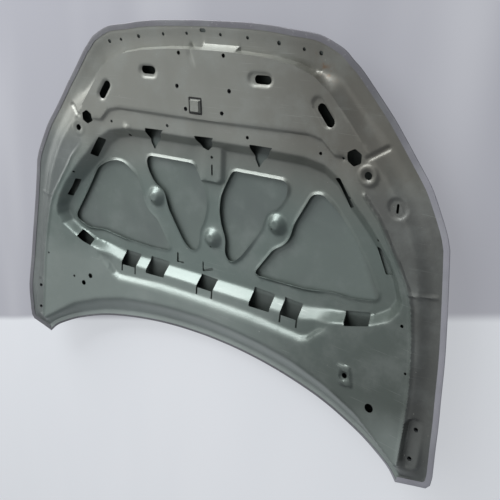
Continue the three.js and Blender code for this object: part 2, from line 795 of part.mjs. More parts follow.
// Flat-sided piece between two height functions over a plan loop
function slab(loop, topHeight, bottomHeight, openLoops, innerPlaces) {
  const points = [...loop, ...openLoops.flat(), ...innerPlaces];
  const triangles = facingUp(triangulate(points), points)
    .filter((triangle) => centreInside(triangle, points, loop))
    .filter((triangle) => !openLoops.some((open) => centreInside(triangle, points, open)));
  const solid = new Solid();
  const top = points.map((point) => solid.vertex(point.x, point.y, topHeight(point.x, point.y)));
  const bottom = points.map((point) => solid.vertex(point.x, point.y, bottomHeight(point.x, point.y)));
  for (const [a, b, c] of triangles) {
    solid.face(top[a], top[b], top[c]);
    solid.face(bottom[a], bottom[c], bottom[b]);
  }
  for (const [from, to] of boundaryEdges(triangles)) {
    solid.face(top[to], top[from], bottom[from]);
    solid.face(top[to], bottom[from], bottom[to]);
  }
  return solid.geometry();
}

function nutAt(centre, topHeight) {
  const rim = ring(centre, nutRadius, 6);
  const bore = ring(centre, nutBoreRadius, 8);
  return slab(rim, topHeight, (x, y) => topHeight(x, y) - nutHeight, [bore], []);
}

// Hinge reinforcement: plate under the pad, parallel to it
function hingePlateTop(x, y) {
  return padPlane(x, y) - 1.05 * innerGauge - fitGap;
}

function hingePlate(flip) {
  const turned = (place) => new THREE.Vector2(flip * place.x, place.y);
  const loop = capsule(hingePadCentre, 110, 24, Math.PI / 2 + 0.03, 3).map(turned);
  const bolts = hingeBoltPlaces.map((place) => ring(turned(place), hingeHoleRadius, 8));
  return slab(loop, hingePlateTop, (x, y) => hingePlateTop(x, y) - plateGauge, bolts, []);
}

function hingeNut(flip, place) {
  const centre = new THREE.Vector2(flip * place.x, place.y);
  return nutAt(centre, (x, y) => hingePlateTop(x, y) - plateGauge - fitGap);
}

// Striker reinforcement: plate under the frame, with a flat pad that stands up in the window
function strikerPlateTop(x, y) {
  return frameCrown(x, y) + beamHeight - 1.05 * innerGauge - 1.5 * fitGap;
}

function strikerPadTop(y) {
  const slope = (frameCrown(0, strikerPadCentre.y + 15) - frameCrown(0, strikerPadCentre.y - 15)) / 30;
  return strikerPlateTop(0, strikerPadCentre.y) + strikerPadRise + slope * (y - strikerPadCentre.y);
}

function strikerPlate() {
  const loop = closedRun([at(-104, 318), at(104, 318), at(104, 402), at(-104, 402)], 45);
  const bolts = strikerBoltPlaces.map((place) => ring(place, strikerHoleRadius, 8));
  const padFoot = closedRun([at(-42, 326), at(-8, 326), at(-8, 361), at(-42, 361)], 12);
  const padHead = closedRun([at(-38, 330), at(-12, 330), at(-12, 357), at(-38, 357)], 12);
  const onHead = (x, y) => padHead.some((place) => Math.hypot(place.x - x, place.y - y) < 0.01);
  const level = (x, y) => (onHead(x, y) ? strikerPadTop(y) : strikerPlateTop(x, y));
  return slab(loop, level, (x, y) => level(x, y) - plateGauge, bolts, [...padFoot, ...padHead]);
}

function strikerNut(place) {
  return nutAt(place, (x, y) => strikerPlateTop(x, y) - plateGauge - 2 * fitGap);
}

// Soft dab between the tray and the skin
function dabAt(place) {
  const rim = ring(place, dabRadius, 12);
  const top = (x, y) => skinHeight(x, y) + trayHeight - 1.05 * innerGauge - fitGap;
  return slab(rim, top, (x, y) => skinHeight(x, y) + fitGap, [], [place]);
}

function steel(colour, roughness, metalness) {
  return new THREE.MeshStandardMaterial({ color: colour, roughness, metalness });
}

const primer = steel(0x7b8079, 0.55, 0.25);
const skinPaint = steel(0x807f86, 0.5, 0.25);
const plateSteel = steel(0x8f948e, 0.5, 0.35);
const nutSteel = steel(0x55585a, 0.45, 0.8);
const mastic = steel(0x2b2c2b, 0.85, 0);

const pieces = new THREE.Group();
pieces.name = 'car_bonnet';

function addPiece(name, geometry, material) {
  const mesh = new THREE.Mesh(geometry, material);
  mesh.name = name;
  pieces.add(mesh);
}

addPiece('outer_panel', outerPanel(), skinPaint);
addPiece('inner_panel', innerPanel(), primer);
addPiece('striker_reinforcement', strikerPlate(), plateSteel);
addPiece('hinge_reinforcement_right', hingePlate(1), plateSteel);
addPiece('hinge_reinforcement_left', hingePlate(-1), plateSteel);
strikerBoltPlaces.forEach((place, i) => addPiece(`striker_nut_${i + 1}`, strikerNut(place), nutSteel));
hingeBoltPlaces.forEach((place, i) => {
  addPiece(`hinge_nut_right_${i + 1}`, hingeNut(1, place), nutSteel);
  addPiece(`hinge_nut_left_${i + 1}`, hingeNut(-1, place), nutSteel);
});
dabPlaces.forEach((place, i) => addPiece(`mastic_dab_${i + 1}`, dabAt(place), mastic));

const lowest = pieces.children[0].geometry;
lowest.computeBoundingBox();
const lift = -lowest.boundingBox.min.z;
for (const piece of pieces.children) {
  piece.geometry.translate(0, 0, lift);
}

export default pieces;
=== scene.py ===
"""Car bonnet seen from below: pressed inner frame hemmed into a crowned outer skin."""
import logging
import math
from dataclasses import dataclass, field
from enum import Enum
from typing import Callable

import bpy
import numpy as np
from mathutils import Matrix, Vector
from mathutils.geometry import delaunay_2d_cdt


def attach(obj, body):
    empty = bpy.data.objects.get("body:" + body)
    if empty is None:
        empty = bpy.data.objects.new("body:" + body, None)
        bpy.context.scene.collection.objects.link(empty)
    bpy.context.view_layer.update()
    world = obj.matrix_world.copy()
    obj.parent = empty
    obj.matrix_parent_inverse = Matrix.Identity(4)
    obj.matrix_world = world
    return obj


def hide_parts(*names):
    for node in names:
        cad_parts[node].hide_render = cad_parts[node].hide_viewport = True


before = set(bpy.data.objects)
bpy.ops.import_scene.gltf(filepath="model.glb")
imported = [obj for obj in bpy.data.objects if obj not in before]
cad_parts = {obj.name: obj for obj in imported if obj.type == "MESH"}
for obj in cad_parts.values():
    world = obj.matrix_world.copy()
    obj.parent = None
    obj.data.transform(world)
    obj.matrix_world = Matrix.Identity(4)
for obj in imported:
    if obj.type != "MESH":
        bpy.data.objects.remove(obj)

log = logging.getLogger("car_bonnet")

MM = 0.001  # a millimetre in metres
PLAN_MIDDLE = 37.0  # along place of the bonnet's middle, as its lines are written
GRID_REACH = (710.0, 520.0)  # half width and half length that the point grids cover
ROW_PITCH = 0.866  # distance between staggered rows over the spacing in a row
CURVE_STEPS = 40  # fine pieces of a smooth curve between two of its places
FAR_AWAY = 1e9  # farther than any line, where a nearest distance starts
CORNER_SHARE = 0.45  # largest share of a side that the rounding of a corner takes
SLOPE_ALLOWANCE = 1.05  # upright thickness of a sloping sheet over its gauge
SHEET_SMOOTHING = 38.0  # degrees up to which edges of the pressings are smooth
SMALL_PART_SMOOTHING = 32.0  # the same for nuts and hinge plates
BLACK = "000000"

Run = np.ndarray
Level = Callable[[float, float], float]


class Side(Enum):
    """Side of the bonnet that a line or a plate belongs to."""

    RIGHT = 1
    LEFT = -1


class Zone(Enum):
    """Value of the zone attribute on the outer skin."""

    INSIDE = 0.0
    OUTSIDE = 1.0


# ---------------------------------------------------------------- plan lines

def at(*places: tuple[float, float]) -> Run:
    """Plan places in millimetres, moved so that the bonnet's middle is the origin."""
    return np.array([(x, y - PLAN_MIDDLE) for x, y in places], dtype=float)


def mirrored(run: Run) -> Run:
    """The run on the other side of the middle line."""
    return run * np.array([-1.0, 1.0])


def turned(run: Run, side: Side) -> Run:
    """The run, which is written for the right side, on the stated side."""
    return run * np.array([float(side.value), 1.0])


def straight_run(places: Run, spacing: float) -> Run:
    """Points along straight pieces.

    Args:
        places: corners of the line.
        spacing: wanted distance between points.

    Returns:
        The corners and the points between them.
    """
    out = [places[0]]
    for start, end in zip(places[:-1], places[1:]):
        count = max(1, round(float(np.linalg.norm(end - start)) / spacing))
        out += [start + (end - start) * k / count for k in range(1, count + 1)]
    return np.array(out)


def closed_run(places: Run, spacing: float) -> Run:
    """Points along a closed loop of straight pieces."""
    return straight_run(np.vstack([places, places[:1]]), spacing)[:-1]


def smooth_run(places: Run, spacing: float) -> Run:
    """Points along a smooth curve through the places.

    Args:
        places: points that the curve passes through.
        spacing: wanted distance between points.

    Returns:
        Evenly spaced points of the curve.
    """
    padded = np.vstack([places[0], places, places[-1]])
    fine = []
    for i in range(len(places) - 1):
        before, start, end, after = padded[i:i + 4]
        leave = (end - before) * 0.5
        arrive = (after - start) * 0.5
        for t in np.linspace(0.0, 1.0, CURVE_STEPS, endpoint=False):
            fine.append((2 * start - 2 * end + leave + arrive) * t ** 3
                        + (-3 * start + 3 * end - 2 * leave - arrive) * t ** 2
                        + leave * t + start)
    fine.append(places[-1])
    line = np.array(fine)
    length = np.concatenate([[0.0], np.cumsum(np.linalg.norm(np.diff(line, axis=0), axis=1))])
    count = max(1, round(length[-1] / spacing))
    wanted = np.linspace(0.0, length[-1], count + 1)
    return np.column_stack([np.interp(wanted, length, line[:, k]) for k in (0, 1)])


def closed_from_half(half: Run) -> Run:
    """Whole loop from its right half, which starts and ends on the middle line."""
    return np.vstack([half, mirrored(half[1:-1][::-1])])


def ring(centre: Run, radius: float, count: int = 12) -> Run:
    """Points on a circle of a stated radius and count."""
    turn = 2 * np.pi * (np.arange(count) + 0.5) / count
    return centre.reshape(2) + radius * np.column_stack([np.cos(turn), np.sin(turn)])


def capsule(centre: Run, length: float, width: float, angle: float, count: int = 8) -> Run:
    """Points round a slot with round ends.

    Args:
        centre: middle of the slot.
        length: overall length.
        width: overall width.
        angle: turn of its length from the x axis, in radians.
        count: pieces in each round end.

    Returns:
        The loop, anticlockwise.
    """
    reach = length / 2 - width / 2
    loop = []
    for side in (1, -1):
        for k in range(count + 1):
            turn = -side * math.pi / 2 + math.pi * k / count
            loop.append((side * reach + width / 2 * math.cos(turn), width / 2 * math.sin(turn)))
    spin = np.array([[math.cos(angle), math.sin(angle)], [-math.sin(angle), math.cos(angle)]])
    return centre.reshape(2) + np.array(loop) @ spin


def rounded(loop: Run, radius: float, count: int = 4) -> Run:
    """The loop with its corners rounded.

    Args:
        loop: corners of a closed loop.
        radius: how far the rounding reaches back from a corner, where the sides allow it.
        count: pieces in each corner.

    Returns:
        The loop with curved corners.
    """
    out = []
    for before, point, after in zip(np.roll(loop, 1, axis=0), loop, np.roll(loop, -1, axis=0)):
        back = before - point
        ahead = after - point
        near = np.linalg.norm(back)
        far = np.linalg.norm(ahead)
        start = point + back / near * min(radius, near * CORNER_SHARE)
        end = point + ahead / far * min(radius, far * CORNER_SHARE)
        for k in range(count + 1):
            t = k / count
            out.append((1 - t) ** 2 * start + 2 * t * (1 - t) * point + t * t * end)
    return np.array(out)


def inward_vectors(loop: Run) -> Run:
    """Step to the right of a closed loop at each of its points.

    Args:
        loop: the closed loop.

    Returns:
        Steps that move every side of the loop by one unit, longer at its corners.
    """
    step_in = loop - np.roll(loop, 1, axis=0)
    step_out = np.roll(loop, -1, axis=0) - loop
    step_in /= np.linalg.norm(step_in, axis=1)[:, None]
    step_out /= np.linalg.norm(step_out, axis=1)[:, None]
    normal = np.column_stack([step_in[:, 1] + step_out[:, 1], -step_in[:, 0] - step_out[:, 0]])
    normal /= np.linalg.norm(normal, axis=1)[:, None]
    share = normal[:, 0] * step_in[:, 1] - normal[:, 1] * step_in[:, 0]
    return normal / np.maximum(0.5, share)[:, None]


def distance_to(x: Run, y: Run, run: Run, closed: bool) -> Run:
    """Distance from plan points to a line.

    Args:
        x: across places.
        y: along places.
        run: points of the line.
        closed: whether its end joins its start.

    Returns:
        The distance of each point.
    """
    best = np.full(x.shape, 1e18)
    ends = np.vstack([run[1:], run[:1]]) if closed else run[1:]
    for (ax, ay), (bx, by) in zip(run, ends):
        dx, dy = bx - ax, by - ay
        size = dx * dx + dy * dy
        share = np.clip(((x - ax) * dx + (y - ay) * dy) / max(size, 1e-12), 0.0, 1.0)
        best = np.minimum(best, (x - ax - share * dx) ** 2 + (y - ay - share * dy) ** 2)
    return np.sqrt(best)


def inside(x: Run, y: Run, loop: Run) -> Run:
    """Whether plan points lie in a closed loop.

    Args:
        x: across places.
        y: along places.
        loop: the closed loop.

    Returns:
        True for each point inside.
    """
    found = np.zeros(x.shape, dtype=bool)
    for (ax, ay), (bx, by) in zip(loop, np.roll(loop, 1, axis=0)):
        if ay == by:
            continue
        crosses = (ay > y) != (by > y)
        found ^= crosses & (x < (bx - ax) * (y - ay) / (by - ay) + ax)
    return found


def clamp(value: Run) -> Run:
    """Value held between 0 and 1."""
    return np.clip(value, 0.0, 1.0)


def ease(value: Run) -> Run:
    """Smooth step from 0 to 1."""
    share = clamp(value)
    return share * share * (3 - 2 * share)


def soft(value: Run, bend: float = 0.22) -> Run:
    """Straight ramp from 0 to 1 whose two ends are rounded, as a pressed wall is.

    Args:
        value: where each point is on the ramp.
        bend: share of the ramp that each rounding takes.

    Returns:
        The height of each point, from 0 to 1.
    """
    t = clamp(value)
    low = t * t / (2 * bend * (1 - bend))
    middle = (t - bend / 2) / (1 - bend)
    high = 1 - (1 - t) ** 2 / (2 * bend * (1 - bend))
    return np.where(t < bend, low, np.where(t > 1 - bend, high, middle))


def single(surface: Callable[[Run, Run], Run], x: float, y: float) -> float:
    """Height of a surface at one place."""
    return float(surface(np.array([x]), np.array([y]))[0])


def facing(level: Level, x: float, y: float, step: float) -> Vector:
    """Direction that a surface faces at a place.

    Args:
        level: height of the surface at a place.
        x: across place.
        y: along place.
        step: how far to each side the slope is measured.

    Returns:
        The upward normal.
    """
    rise_x = (level(x + step, y) - level(x - step, y)) / (2 * step)
    rise_y = (level(x, y + step) - level(x, y - step)) / (2 * step)
    return Vector((-rise_x, -rise_y, 1)).normalized()


# ---------------------------------------------------------------- bonnet form

@dataclass
class BonnetPlan:
    """Lines of the bonnet in plan, in millimetres."""

    step: float = 8.0
    flange_width: float = 18.0
    front: Run = field(init=False)
    corner: Run = field(init=False)
    arc: Run = field(init=False)
    outline: Run = field(init=False)
    curled: Run = field(init=False)

    def __post_init__(self) -> None:
        """Works the outline out from its curves."""
        nose = at((0, 545), (120, 543), (190, 539), (239, 533), (307, 525), (342, 513))
        shoulder = at((342, 513), (375, 496), (396, 477), (416, 459), (447, 424), (498, 365))
        flank = at((498, 365), (559, 285), (593, 240), (618, 195), (640, 150), (651, 118))
        side = at((651, 118), (665, 14), (681, -110), (690, -207), (698, -293), (704, -407))
        corner = at((704, -407), (702, -430), (693, -443), (620, -471))
        arc = at((620, -471), (596, -446), (560, -424), (500, -395), (400, -360), (300, -338),
                 (200, -323), (100, -314), (0, -311))
        runs = [smooth_run(run, self.step) for run in (nose, shoulder, flank, side)]
        self.front = np.vstack([runs[0], *[run[1:] for run in runs[1:]]])
        self.corner = straight_run(corner, self.step)
        self.arc = smooth_run(arc, self.step)
        self.outline = closed_from_half(np.vstack([self.front, self.corner[1:], self.arc[1:]]))
        edge = np.vstack([self.front, self.corner[1:]])
        self.curled = np.vstack([edge[::-1], mirrored(edge[1:])])[::3]

    def inset(self, distance: float) -> Run:
        """The outline moved in by a distance."""
        return self.outline + inward_vectors(self.outline) * distance


@dataclass
class Crown:
    """Heights of the skin and of the pressed frame over it, in millimetres."""

    plan: BonnetPlan
    half_width: float = 700.0
    half_length: float = 500.0
    cross_crown: float = 50.4
    cross_share: float = 0.55
    length_crown: float = 34.7
    nose_crown: float = 5.3
    twist: float = 10.3
    middle_drop: float = 14.0
    edge_curl: float = 18.0
    curl_band: float = 90.0
    beam_height: float = 34.0
    tray_height: float = 5.0
    skin_gauge: float = 0.8
    inner_gauge: float = 0.8
    gap: float = 0.3
    drop_half_width: float = 0.886
    drop_half_length: float = 0.84
    drop_centre: float = 60.0
    curl_start: float = 1.1
    curl_fade_start: float = -450.0
    curl_fade_length: float = 150.0
    lift: float = 0.0

    def frame(self, x: Run, y: Run) -> Run:
        """Crown that the frame follows.

        Args:
            x: across places.
            y: along places.

        Returns:
            The height of each place.
        """
        cross = (x / self.half_width) ** 2
        along = (y + PLAN_MIDDLE) / self.half_length
        share = self.cross_share
        return (self.cross_crown * (share * cross + (1 - share) * cross * cross)
                + self.length_crown * along ** 2 + self.nose_crown * along ** 3
                - self.twist * cross * along)

    def skin(self, x: Run, y: Run) -> Run:
        """Inner face of the skin.

        Args:
            x: across places.
            y: along places.

        Returns:
            The height of each place.
        """
        across = x / (self.drop_half_width * self.half_width)
        centre = self.drop_centre - PLAN_MIDDLE
        along = (y - centre) / (self.drop_half_length * self.half_length)
        drop = self.middle_drop * np.maximum(0, 1 - across ** 2) * np.maximum(0, 1 - along ** 2)
        start = self.curl_start * self.plan.flange_width
        far = distance_to(x, y, self.plan.curled, False) - start
        curl = clamp(1 - far / self.curl_band)
        fade = ease((y - self.curl_fade_start + PLAN_MIDDLE) / self.curl_fade_length)
        return self.frame(x, y) - drop + self.edge_curl * fade * curl * curl

    def under_frame(self, gaps: float) -> float:
        """Drop from the frame's upper face to a piece below it, past a number of gaps."""
        return SLOPE_ALLOWANCE * self.inner_gauge + gaps * self.gap

    def flange(self, distance: "float | Run") -> Run:
        """Inner face of the skin on a line beside the edge, straight across the flange.

        Args:
            distance: how far in from the edge the line is, or each of its points.

        Returns:
            The height at each point of the line.
        """
        edge = self.plan.outline
        root = self.plan.inset(self.plan.flange_width)
        edge_height = self.skin(edge[:, 0], edge[:, 1])
        root_height = self.skin(root[:, 0], root[:, 1])
        return edge_height + (root_height - edge_height) * (distance / self.plan.flange_width)


def line_height(line: Run, x: Run) -> Run:
    """Along place of a line that is written for the right side, at an across place."""
    return np.interp(np.abs(x), line[:, 0], line[:, 1])


# ---------------------------------------------------------------- mesh tools

class Bench:
    """Tools that make and finish meshes."""

    @staticmethod
    def clear() -> None:
        """Leaves edit mode and deselects everything."""
        if bpy.context.object and bpy.context.object.mode != "OBJECT":
            bpy.ops.object.mode_set(mode="OBJECT")
        bpy.ops.object.select_all(action="DESELECT")

    @staticmethod
    def pick(obj: bpy.types.Object) -> None:
        """Makes one object the only selected and active one.

        Args:
            obj: the object.
        """
        Bench.clear()
        obj.select_set(True)
        bpy.context.view_layer.objects.active = obj

    @staticmethod
    def start(name: str) -> bpy.types.Object:
        """Names the primitive that was just added.

        Args:
            name: its name.

        Returns:
            The new object.
        """
        obj = bpy.context.object
        obj.name = name
        obj.data.name = name
        return obj

    @staticmethod
    def cylinder(name: str, radius: float, depth: float, sides: int,
                 middle: tuple[float, float, float] = (0.0, 0.0, 0.0)) -> bpy.types.Object:
        """Adds an upright cylinder with its place in its mesh.

        Args:
            name: name of the piece.
            radius: radius in millimetres.
            depth: height in millimetres.
            sides: number of its sides.
            middle: place of its middle, in millimetres.

        Returns:
            The new object.
        """
        Bench.clear()
        bpy.ops.mesh.primitive_cylinder_add(
            vertices=sides, radius=radius * MM, depth=depth * MM,
            location=[value * MM for value in middle])
        obj = Bench.start(name)
        Bench.settle(obj)
        return obj

    @staticmethod
    def sheet(name: str, places: Run, faces: list[tuple[int, ...]]) -> bpy.types.Object:
        """A sheet from its points and faces.

        Args:
            name: name of the piece.
            places: points in millimetres.
            faces: corners of each face.

        Returns:
            The new object.
        """
        mesh = bpy.data.meshes.new(name)
        mesh.from_pydata((places * MM).tolist(), [], faces)
        mesh.update()
        obj = bpy.data.objects.new(name, mesh)
        bpy.context.scene.collection.objects.link(obj)
        Bench.pick(obj)
        return obj

    @staticmethod
    def apply(obj: bpy.types.Object, kind: str, **settings: object) -> None:
        """Adds a modifier and applies it.

        Args:
            obj: the piece.
            kind: type of the modifier.
            settings: its properties.
        """
        Bench.pick(obj)
        modifier = obj.modifiers.new(kind.lower(), kind)
        for key, value in settings.items():
            setattr(modifier, key, value)
        bpy.ops.object.modifier_apply(modifier=modifier.name)

    @staticmethod
    def thicken(obj: bpy.types.Object, gauge: float) -> None:
        """Gives a sheet its gauge in millimetres, below its faces."""
        Bench.apply(obj, "SOLIDIFY", thickness=gauge * MM, offset=-1.0, use_rim=True)

    @staticmethod
    def soften(obj: bpy.types.Object, width: float, segments: int, degrees: float) -> None:
        """Rounds a piece's edges.

        Args:
            obj: the piece.
            width: width of the rounding in millimetres.
            segments: faces across it.
            degrees: edges that bend less than this are left.
        """
        Bench.apply(obj, "BEVEL", width=width * MM, segments=segments, limit_method="ANGLE",
                    angle_limit=math.radians(degrees))

    @staticmethod
    def turn_faces(obj: bpy.types.Object, up: bool) -> None:
        """Turns every face of a sheet to the same side.

        Args:
            obj: the sheet.
            up: whether its faces look up, and not down.
        """
        Bench.pick(obj)
        bpy.ops.object.mode_set(mode="EDIT")
        bpy.ops.mesh.select_all(action="SELECT")
        if up:
            bpy.ops.mesh.delete_loose(use_verts=True, use_edges=True, use_faces=False)
            bpy.ops.mesh.select_all(action="SELECT")
        bpy.ops.mesh.normals_make_consistent(inside=False)
        bpy.ops.object.mode_set(mode="OBJECT")
        total = sum(face.normal.z * face.area for face in obj.data.polygons)
        if (total > 0) != up:
            obj.data.flip_normals()

    @staticmethod
    def places(obj: bpy.types.Object) -> tuple[Run, Run]:
        """Plan places of a mesh's points.

        Args:
            obj: the piece.

        Returns:
            Its across and its along places, in millimetres.
        """
        spot = np.empty(len(obj.data.vertices) * 3)
        obj.data.vertices.foreach_get("co", spot)
        return spot[0::3] / MM, spot[1::3] / MM

    @staticmethod
    def mark(obj: bpy.types.Object, name: str, values: Run) -> None:
        """Writes one value for each point of a mesh, for the finish to read."""
        attribute = obj.data.attributes.new(name, "FLOAT", "POINT")
        attribute.data.foreach_set("value", np.asarray(values, dtype=np.float32))

    @staticmethod
    def smooth(obj: bpy.types.Object, degrees: float) -> None:
        """Smooth shading up to an angle."""
        Bench.pick(obj)
        bpy.ops.object.shade_smooth_by_angle(angle=math.radians(degrees))

    @staticmethod
    def settle(obj: bpy.types.Object) -> None:
        """Takes the object's place into its mesh."""
        Bench.pick(obj)
        bpy.ops.object.transform_apply(location=True, rotation=True, scale=True)

    @staticmethod
    def cut(obj: bpy.types.Object, cutter: bpy.types.Object) -> None:
        """Cuts a piece with another one and removes the cutter."""
        Bench.apply(obj, "BOOLEAN", operation="DIFFERENCE", solver="EXACT", object=cutter)
        bpy.data.objects.remove(cutter, do_unlink=True)

    @staticmethod
    def copy(obj: bpy.types.Object, name: str) -> bpy.types.Object:
        """A copy with a mesh of its own.

        Args:
            obj: the piece to copy.
            name: name of the copy.

        Returns:
            The copy.
        """
        twin = obj.copy()
        twin.data = obj.data.copy()
        twin.name = name
        twin.data.name = name
        bpy.context.scene.collection.objects.link(twin)
        return twin

    @staticmethod
    def lay(obj: bpy.types.Object, place: tuple[float, float, float], normal: Vector) -> None:
        """Stands a piece on a place with its z axis along a normal.

        Args:
            obj: piece made round the origin.
            place: where its origin goes, in millimetres.
            normal: direction of its z axis.
        """
        turn = Vector((0, 0, 1)).rotation_difference(normal.normalized())
        obj.matrix_world = Matrix.Translation(Vector(place) * MM) @ turn.to_matrix().to_4x4()
        Bench.settle(obj)


def triangles_of(points: Run, loops: list[Run], holes: list[Run]) -> tuple[Run, Run]:
    """Triangles between plan points, open inside the holes.

    Args:
        points: free plan points.
        loops: closed rims, the first of which is the outer one.
        holes: loops that are left open.

    Returns:
        All plan points and the corners of the triangles, facing up.
    """
    places = [Vector(place) for loop in loops for place in loop]
    places += [Vector(place) for place in points]
    edges = []
    first = 0
    for loop in loops:
        count = len(loop)
        edges += [(first + i, first + (i + 1) % count) for i in range(count)]
        first += count
    found = delaunay_2d_cdt(places, edges, [], 0, 1e-4)
    plan = np.array([tuple(place) for place in found[0]])
    faces = np.array([face for face in found[2] if len(face) == 3])
    middle = plan[faces].mean(axis=1).T
    keep = inside(*middle, loops[0])
    for hole in holes:
        keep &= ~inside(*middle, hole)
    faces = faces[keep]
    a, b, c = plan[faces[:, 0]], plan[faces[:, 1]], plan[faces[:, 2]]
    turn = (b[:, 0] - a[:, 0]) * (c[:, 1] - a[:, 1]) - (b[:, 1] - a[:, 1]) * (c[:, 0] - a[:, 0])
    faces[turn < 0] = faces[turn < 0][:, [0, 2, 1]]
    return plan, faces


def staggered_grid(spacing: float) -> Run:
    """Plan points in staggered rows, to past the bonnet's edges.

    Args:
        spacing: distance between points in a row.

    Returns:
        The points.
    """
    rows = int(GRID_REACH[1] / (spacing * ROW_PITCH)) + 1
    columns = int(GRID_REACH[0] / spacing) + 1
    row, column = np.meshgrid(np.arange(-rows, rows + 1), np.arange(-columns, columns + 1))
    x = (column + 0.5 * (row % 2)) * spacing
    return np.column_stack([x.ravel(), (row * spacing * ROW_PITCH).ravel()])


@dataclass
class Rings:
    """Points of a sheet: a plan mesh whose rim comes first, and rings that carry it on."""

    count: int
    blocks: list[Run]
    starts: list[int] = field(default_factory=lambda: [0])

    def add(self, loop: Run, levels: Run) -> None:
        """Adds a ring of plan points at their heights."""
        self.starts.append(sum(len(block) for block in self.blocks))
        self.blocks.append(np.column_stack([loop, levels]))

    def quads(self) -> list[tuple[int, ...]]:
        """Faces between each ring and the next.

        Returns:
            The corners of the faces.
        """
        faces = []
        for low, high in zip(self.starts[:-1], self.starts[1:]):
            for i in range(self.count):
                j = (i + 1) % self.count
                faces.append((low + i, low + j, high + j, high + i))
        return faces


# ---------------------------------------------------------------- inner panel

@dataclass
class InnerPanel:
    """Pressed inner frame with its tray, pockets, windows, slots and holes."""

    plan: BonnetPlan
    crown: Crown
    lip_height: float = 5.6
    lip_width: float = 8.0
    cone_radius: float = 32.0
    cone_top_radius: float = 9.0
    cone_height: float = 16.0
    tongue_height: float = 10.0
    bead_height: float = 5.5
    bead_half_width: float = 7.0
    seat_depth: float = 4.0
    boss_radius: float = 27.0
    boss_height: float = 4.5
    pad_height: float = 15.0
    front_step: float = 7.0
    front_step_width: float = 8.0
    rear_step: float = 15.0
    rear_step_width: float = 27.0
    rear_step_end_width: float = 20.0
    front_step_end: float = 430.0
    rear_step_end: float = 410.0
    step_fade: float = 60.0
    nose_start: float = 290.0
    nose_length: float = 100.0
    nose_band: float = 0.30
    nose_wall: float = 7.0
    nose_bend: float = 0.04
    block_left: float = -3.0
    block_right: float = 105.0
    block_extra: float = 8.0
    corner_start: float = 300.0
    corner_length: float = 70.0
    corner_extra: float = 27.0
    lip_drop: float = 0.6
    left_boss_share: float = 0.35
    leg_width: float = 5.0
    leg_end: float = -182.0
    shelf_start: float = -161.0
    coarse: float = 8.5
    fine: float = 4.4
    fine_reach: float = 12.0
    hole_margin: float = 4.0
    rim_spacing: float = 5.0
    rim_clearance: float = 1.8

    def __post_init__(self) -> None:
        """Places the lines and holes of the frame."""
        self.tray_foot = at(
            (0, 230), (150, 230), (280, 228), (330, 218), (365, 195), (400, 152), (440, 115),
            (475, 78), (508, 40), (530, 10), (545, -30), (535, -55), (500, -84), (430, -102),
            (380, -107), (300, -121), (150, -124), (0, -127), (-150, -127), (-300, -123),
            (-360, -114), (-430, -106), (-495, -81), (-530, -58), (-547, -34), (-545, -12),
            (-530, 10), (-508, 40), (-475, 78), (-440, 115), (-400, 152), (-365, 195),
            (-330, 218), (-280, 228), (-150, 230))
        self.tray_head = at(
            (0, 263), (150, 263), (290, 261), (345, 250), (390, 222), (428, 180), (465, 145),
            (500, 105), (532, 64), (557, 20), (573, -20), (568, -50), (545, -80), (499, -103),
            (432, -122), (371, -142), (313, -160), (150, -161), (-300, -160), (-340, -150),
            (-430, -122), (-497, -98), (-545, -72), (-566, -45), (-568, -20), (-555, 20),
            (-532, 64), (-500, 105), (-465, 145), (-428, 180), (-390, 222), (-345, 250),
            (-290, 261), (-150, 263))
        self.crest = closed_from_half(at(
            (0, 478), (100, 476), (200, 468), (260, 457), (310, 438), (352, 405), (400, 350),
            (440, 302), (490, 245), (530, 195), (560, 140), (585, 80), (600, 20), (612, -50),
            (622, -120), (628, -200), (632, -290), (632, -395), (618, -412), (585, -390),
            (500, -330), (400, -290), (300, -262), (200, -248), (100, -240), (0, -236)))
        self.front_ridge = at((0, 304), (300, 307), (334, 299), (368, 268), (420, 268))
        self.rear_bead = at((0, -178), (160, -179), (255, -187), (318, -191), (338, -184),
                            (362, -160), (390, -140), (430, -138))
        self.side_bead = at(
            (450, 198), (491, 153), (519, 109), (546, 68), (572, 27), (583, 3), (592, -25),
            (606, -99), (614, -158), (619, -206), (622, -265), (624, -400))
        inner = rounded(at(
            (64, 186), (225, 186), (234, 168), (226, 140), (204, 108), (172, 90), (156, 40),
            (126, -6), (98, -46), (76, -66), (60, -66), (46, -48), (46, -6), (30, 30), (22, 70),
            (26, 110), (44, 150)), 14)
        outer = rounded(at(
            (302, 166), (330, 172), (366, 146), (415, 95), (463, 30), (505, -36), (496, -52),
            (430, -66), (390, -65), (300, -80), (160, -84), (148, -76), (200, 0), (232, 20),
            (248, 44), (256, 80)), 14)
        left = rounded(at(
            (-305, 145), (-328, 155), (-356, 155), (-392, 142), (-421, 123), (-468, 40),
            (-513, -38), (-508, -54), (-466, -74), (-400, -70), (-374, -75), (-306, -86),
            (-216, -90), (-160, -88), (-148, -78), (-200, 0), (-232, 20), (-248, 44),
            (-258, 80), (-275, 121)), 14)
        self.pockets = [inner, outer, mirrored(inner), left]
        self.cones = [at((0, -14)), at((204, 68)), at((-204, 68))]
        self.tongue = at((40, 240), (36, 152), (22, 138), (-44, 138), (-66, 160), (-72, 240))
        self.bosses = [at((455, 242)), at((-455, 242))]
        self.square_boss = rounded(at((431, -222), (470, -216), (484, -270), (444, -276)), 9)
        self.seats = [
            capsule(at((170, 421)), 72, 36, 0), capsule(at((-176, 417)), 64, 36, 0),
            capsule(at((336, 364)), 80, 36, -0.9), capsule(at((-342, 358)), 72, 34, 0.9),
            capsule(at((529, 183)), 52, 44, -0.9), capsule(at((470, 292)), 62, 16, 0.6),
            capsule(at((-470, 292)), 62, 16, -0.6)]
        pad = capsule(at((648, -343)), 122, 34, math.pi / 2 + 0.03)
        self.pads = [pad, mirrored(pad)]
        self.pad_centre = at((648, -343))[0]
        self.set_pad_plane()
        self.holes = self.all_holes()

